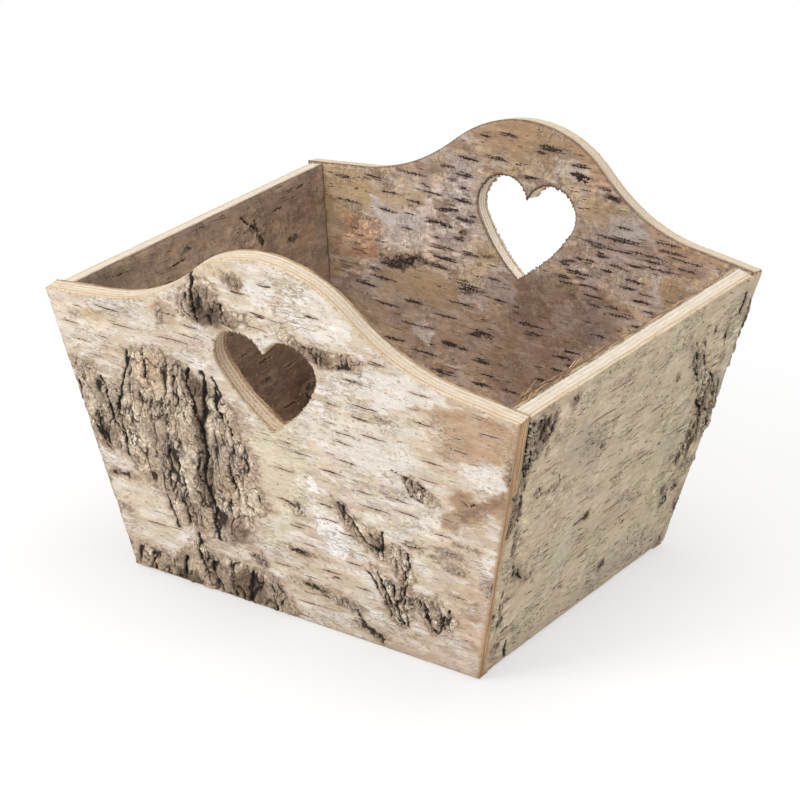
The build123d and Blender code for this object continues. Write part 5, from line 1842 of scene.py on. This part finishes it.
# Torn fibres along the tops of the walls and round the hearts
roots = []
for _ in range(70):
    x = rng.uniform(-70, 70)
    spot = spot_on(inner, x, SIDE_SLOPE - 0.4, BARK - 0.3)
    roots.append((spot, inner.up * 0.6 + inner.normal * 0.8, rng.uniform(0.6, 2.6)))
bark_fibres("right_inner_bark_fibres", roots, (120, 96, 76), 32)
for node, count in (("front_outer_bark", 90), ("back_outer_bark", 50)):
    sheet = made[node]
    roots = []
    for k in rng.integers(0, len(sheet.hole), count):
        x, s = sheet.hole[k]
        across, rise, _ = hearts[node.split("_")[0]]
        spot = spot_on(sheet, x, s, rng.uniform(0.2, 1.1))
        inward = sheet.across * (across - x) + sheet.up * (rise - s)
        roots.append((spot, inward / np.linalg.norm(inward) + sheet.normal * 0.3, rng.uniform(0.35, 1.0)))
    arch = [p for p in sheet.loop if p[1] > END_SLOPE - 0.1]
    for k in rng.integers(0, len(arch), count):
        spot = spot_on(sheet, *arch[k], rng.uniform(0.4, 1.2))
        roots.append((spot - sheet.up * 0.3, sheet.up * 0.7 + sheet.normal * 0.6, rng.uniform(0.35, 1.0)))
    bark_fibres(node + "_fibres", roots, (150, 124, 96), 33)

for wall, (origin, across, up, outward) in walls.items():
    dress(wall + "_core", board_material(wall, outward, origin, across, up))
dress("base_board", base_material())
for node in ("corner_brads", "base_brads"):
    dress(node, steel_material())


# Stage: a pale floor that keeps the shadow and fades into a white surround

FLOOR_SIDE = 6.0
FADE = 0.16, 0.42  # metres from the middle, over which the floor turns white


def show_white(n, output, plain, white, share=1.0):
    """Shows an output's plain shader to the light, and a share of white to the camera and in
    reflections."""
    rays = n.add("LightPath").outputs
    seen = n.math("MAXIMUM", rays["Is Camera Ray"], rays["Is Glossy Ray"])
    seen = n.math("MAXIMUM", seen, rays["Is Transmission Ray"])
    blend = n.fed(n.add("MixShader"), (n.times(share, seen), plain.outputs[0], white.outputs[0]))
    n.feed(n.tree.nodes[output].inputs["Surface"], blend.outputs[0])


def make_floor():
    half = FLOOR_SIDE / 2
    corners = [(-half, -half, 0), (half, -half, 0), (half, half, 0), (-half, half, 0)]
    mesh = new_mesh("floor", corners, [(0, 1, 2, 3)])
    material, n, shader = new_material("floor_white")
    shader.inputs["Base Color"].default_value = (0.9, 0.9, 0.9, 1)
    shader.inputs["Roughness"].default_value = 0.9
    shader.inputs["Specular IOR Level"].default_value = 0.0
    glow = n.add("Emission")
    glow.inputs["Color"].default_value = (1, 1, 1, 1)
    glow.inputs["Strength"].default_value = 1.0
    reach = n.fed(n.add("VectorMath", operation="LENGTH"), [n.object_place()]).outputs["Value"]
    show_white(n, "Material Output", shader, glow, n.span(reach, *FADE, 0.55, 1.0))
    mesh.materials.append(material)
    link("floor", mesh)


def make_world(strength):
    world = bpy.data.worlds.new("studio")
    bpy.context.scene.world = world
    world.use_nodes = True
    n = Nodes(world.node_tree)
    light = n.tree.nodes["Background"]
    light.inputs["Color"].default_value = (1.0, 0.99, 0.975, 1)
    light.inputs["Strength"].default_value = strength
    white = n.add("Background")
    white.inputs["Color"].default_value = (1, 1, 1, 1)
    white.inputs["Strength"].default_value = 1.0
    show_white(n, "World Output", light, white)


def make_lamp(name, place, size, power):
    """A soft square lamp that faces the middle of the basket."""
    data = bpy.data.lights.new(name, "AREA")
    data.size = size
    data.energy = power
    lamp = link(name, data)
    lamp.location = place
    aim = Vector((0, 0, 0.06)) - Vector(place)
    lamp.rotation_euler = aim.to_track_quat("-Z", "Y").to_euler()


def make_camera():
    a, e, r = CAMERA_AZIMUTH, CAMERA_ELEVATION, CAMERA_ROLL
    back = Vector((sin(a) * cos(e), -cos(a) * cos(e), sin(e)))
    right = Vector((cos(a), sin(a), 0))
    up = back.cross(right)
    turned_right = right * cos(r) + up * sin(r)
    turned_up = up * cos(r) - right * sin(r)
    place = turned_right * CAMERA_ASIDE + turned_up * CAMERA_ABOVE + back * CAMERA_DISTANCE
    data = bpy.data.cameras.new("camera")
    data.lens = CAMERA_LENS
    data.sensor_width = SENSOR_WIDTH
    camera = link("camera", data)
    axes = Matrix((turned_right, turned_up, back)).transposed().to_4x4()
    camera.matrix_world = Matrix.Translation(place * MM) @ axes
    bpy.context.scene.camera = camera


make_floor()
make_world(0.62)
make_lamp("key", (-0.55, -1.15, 1.05), 0.7, 11.8)
make_lamp("top", (0.15, 0.1, 1.4), 0.9, 9)
make_camera()
bpy.context.scene.view_settings.view_transform = "Standard"
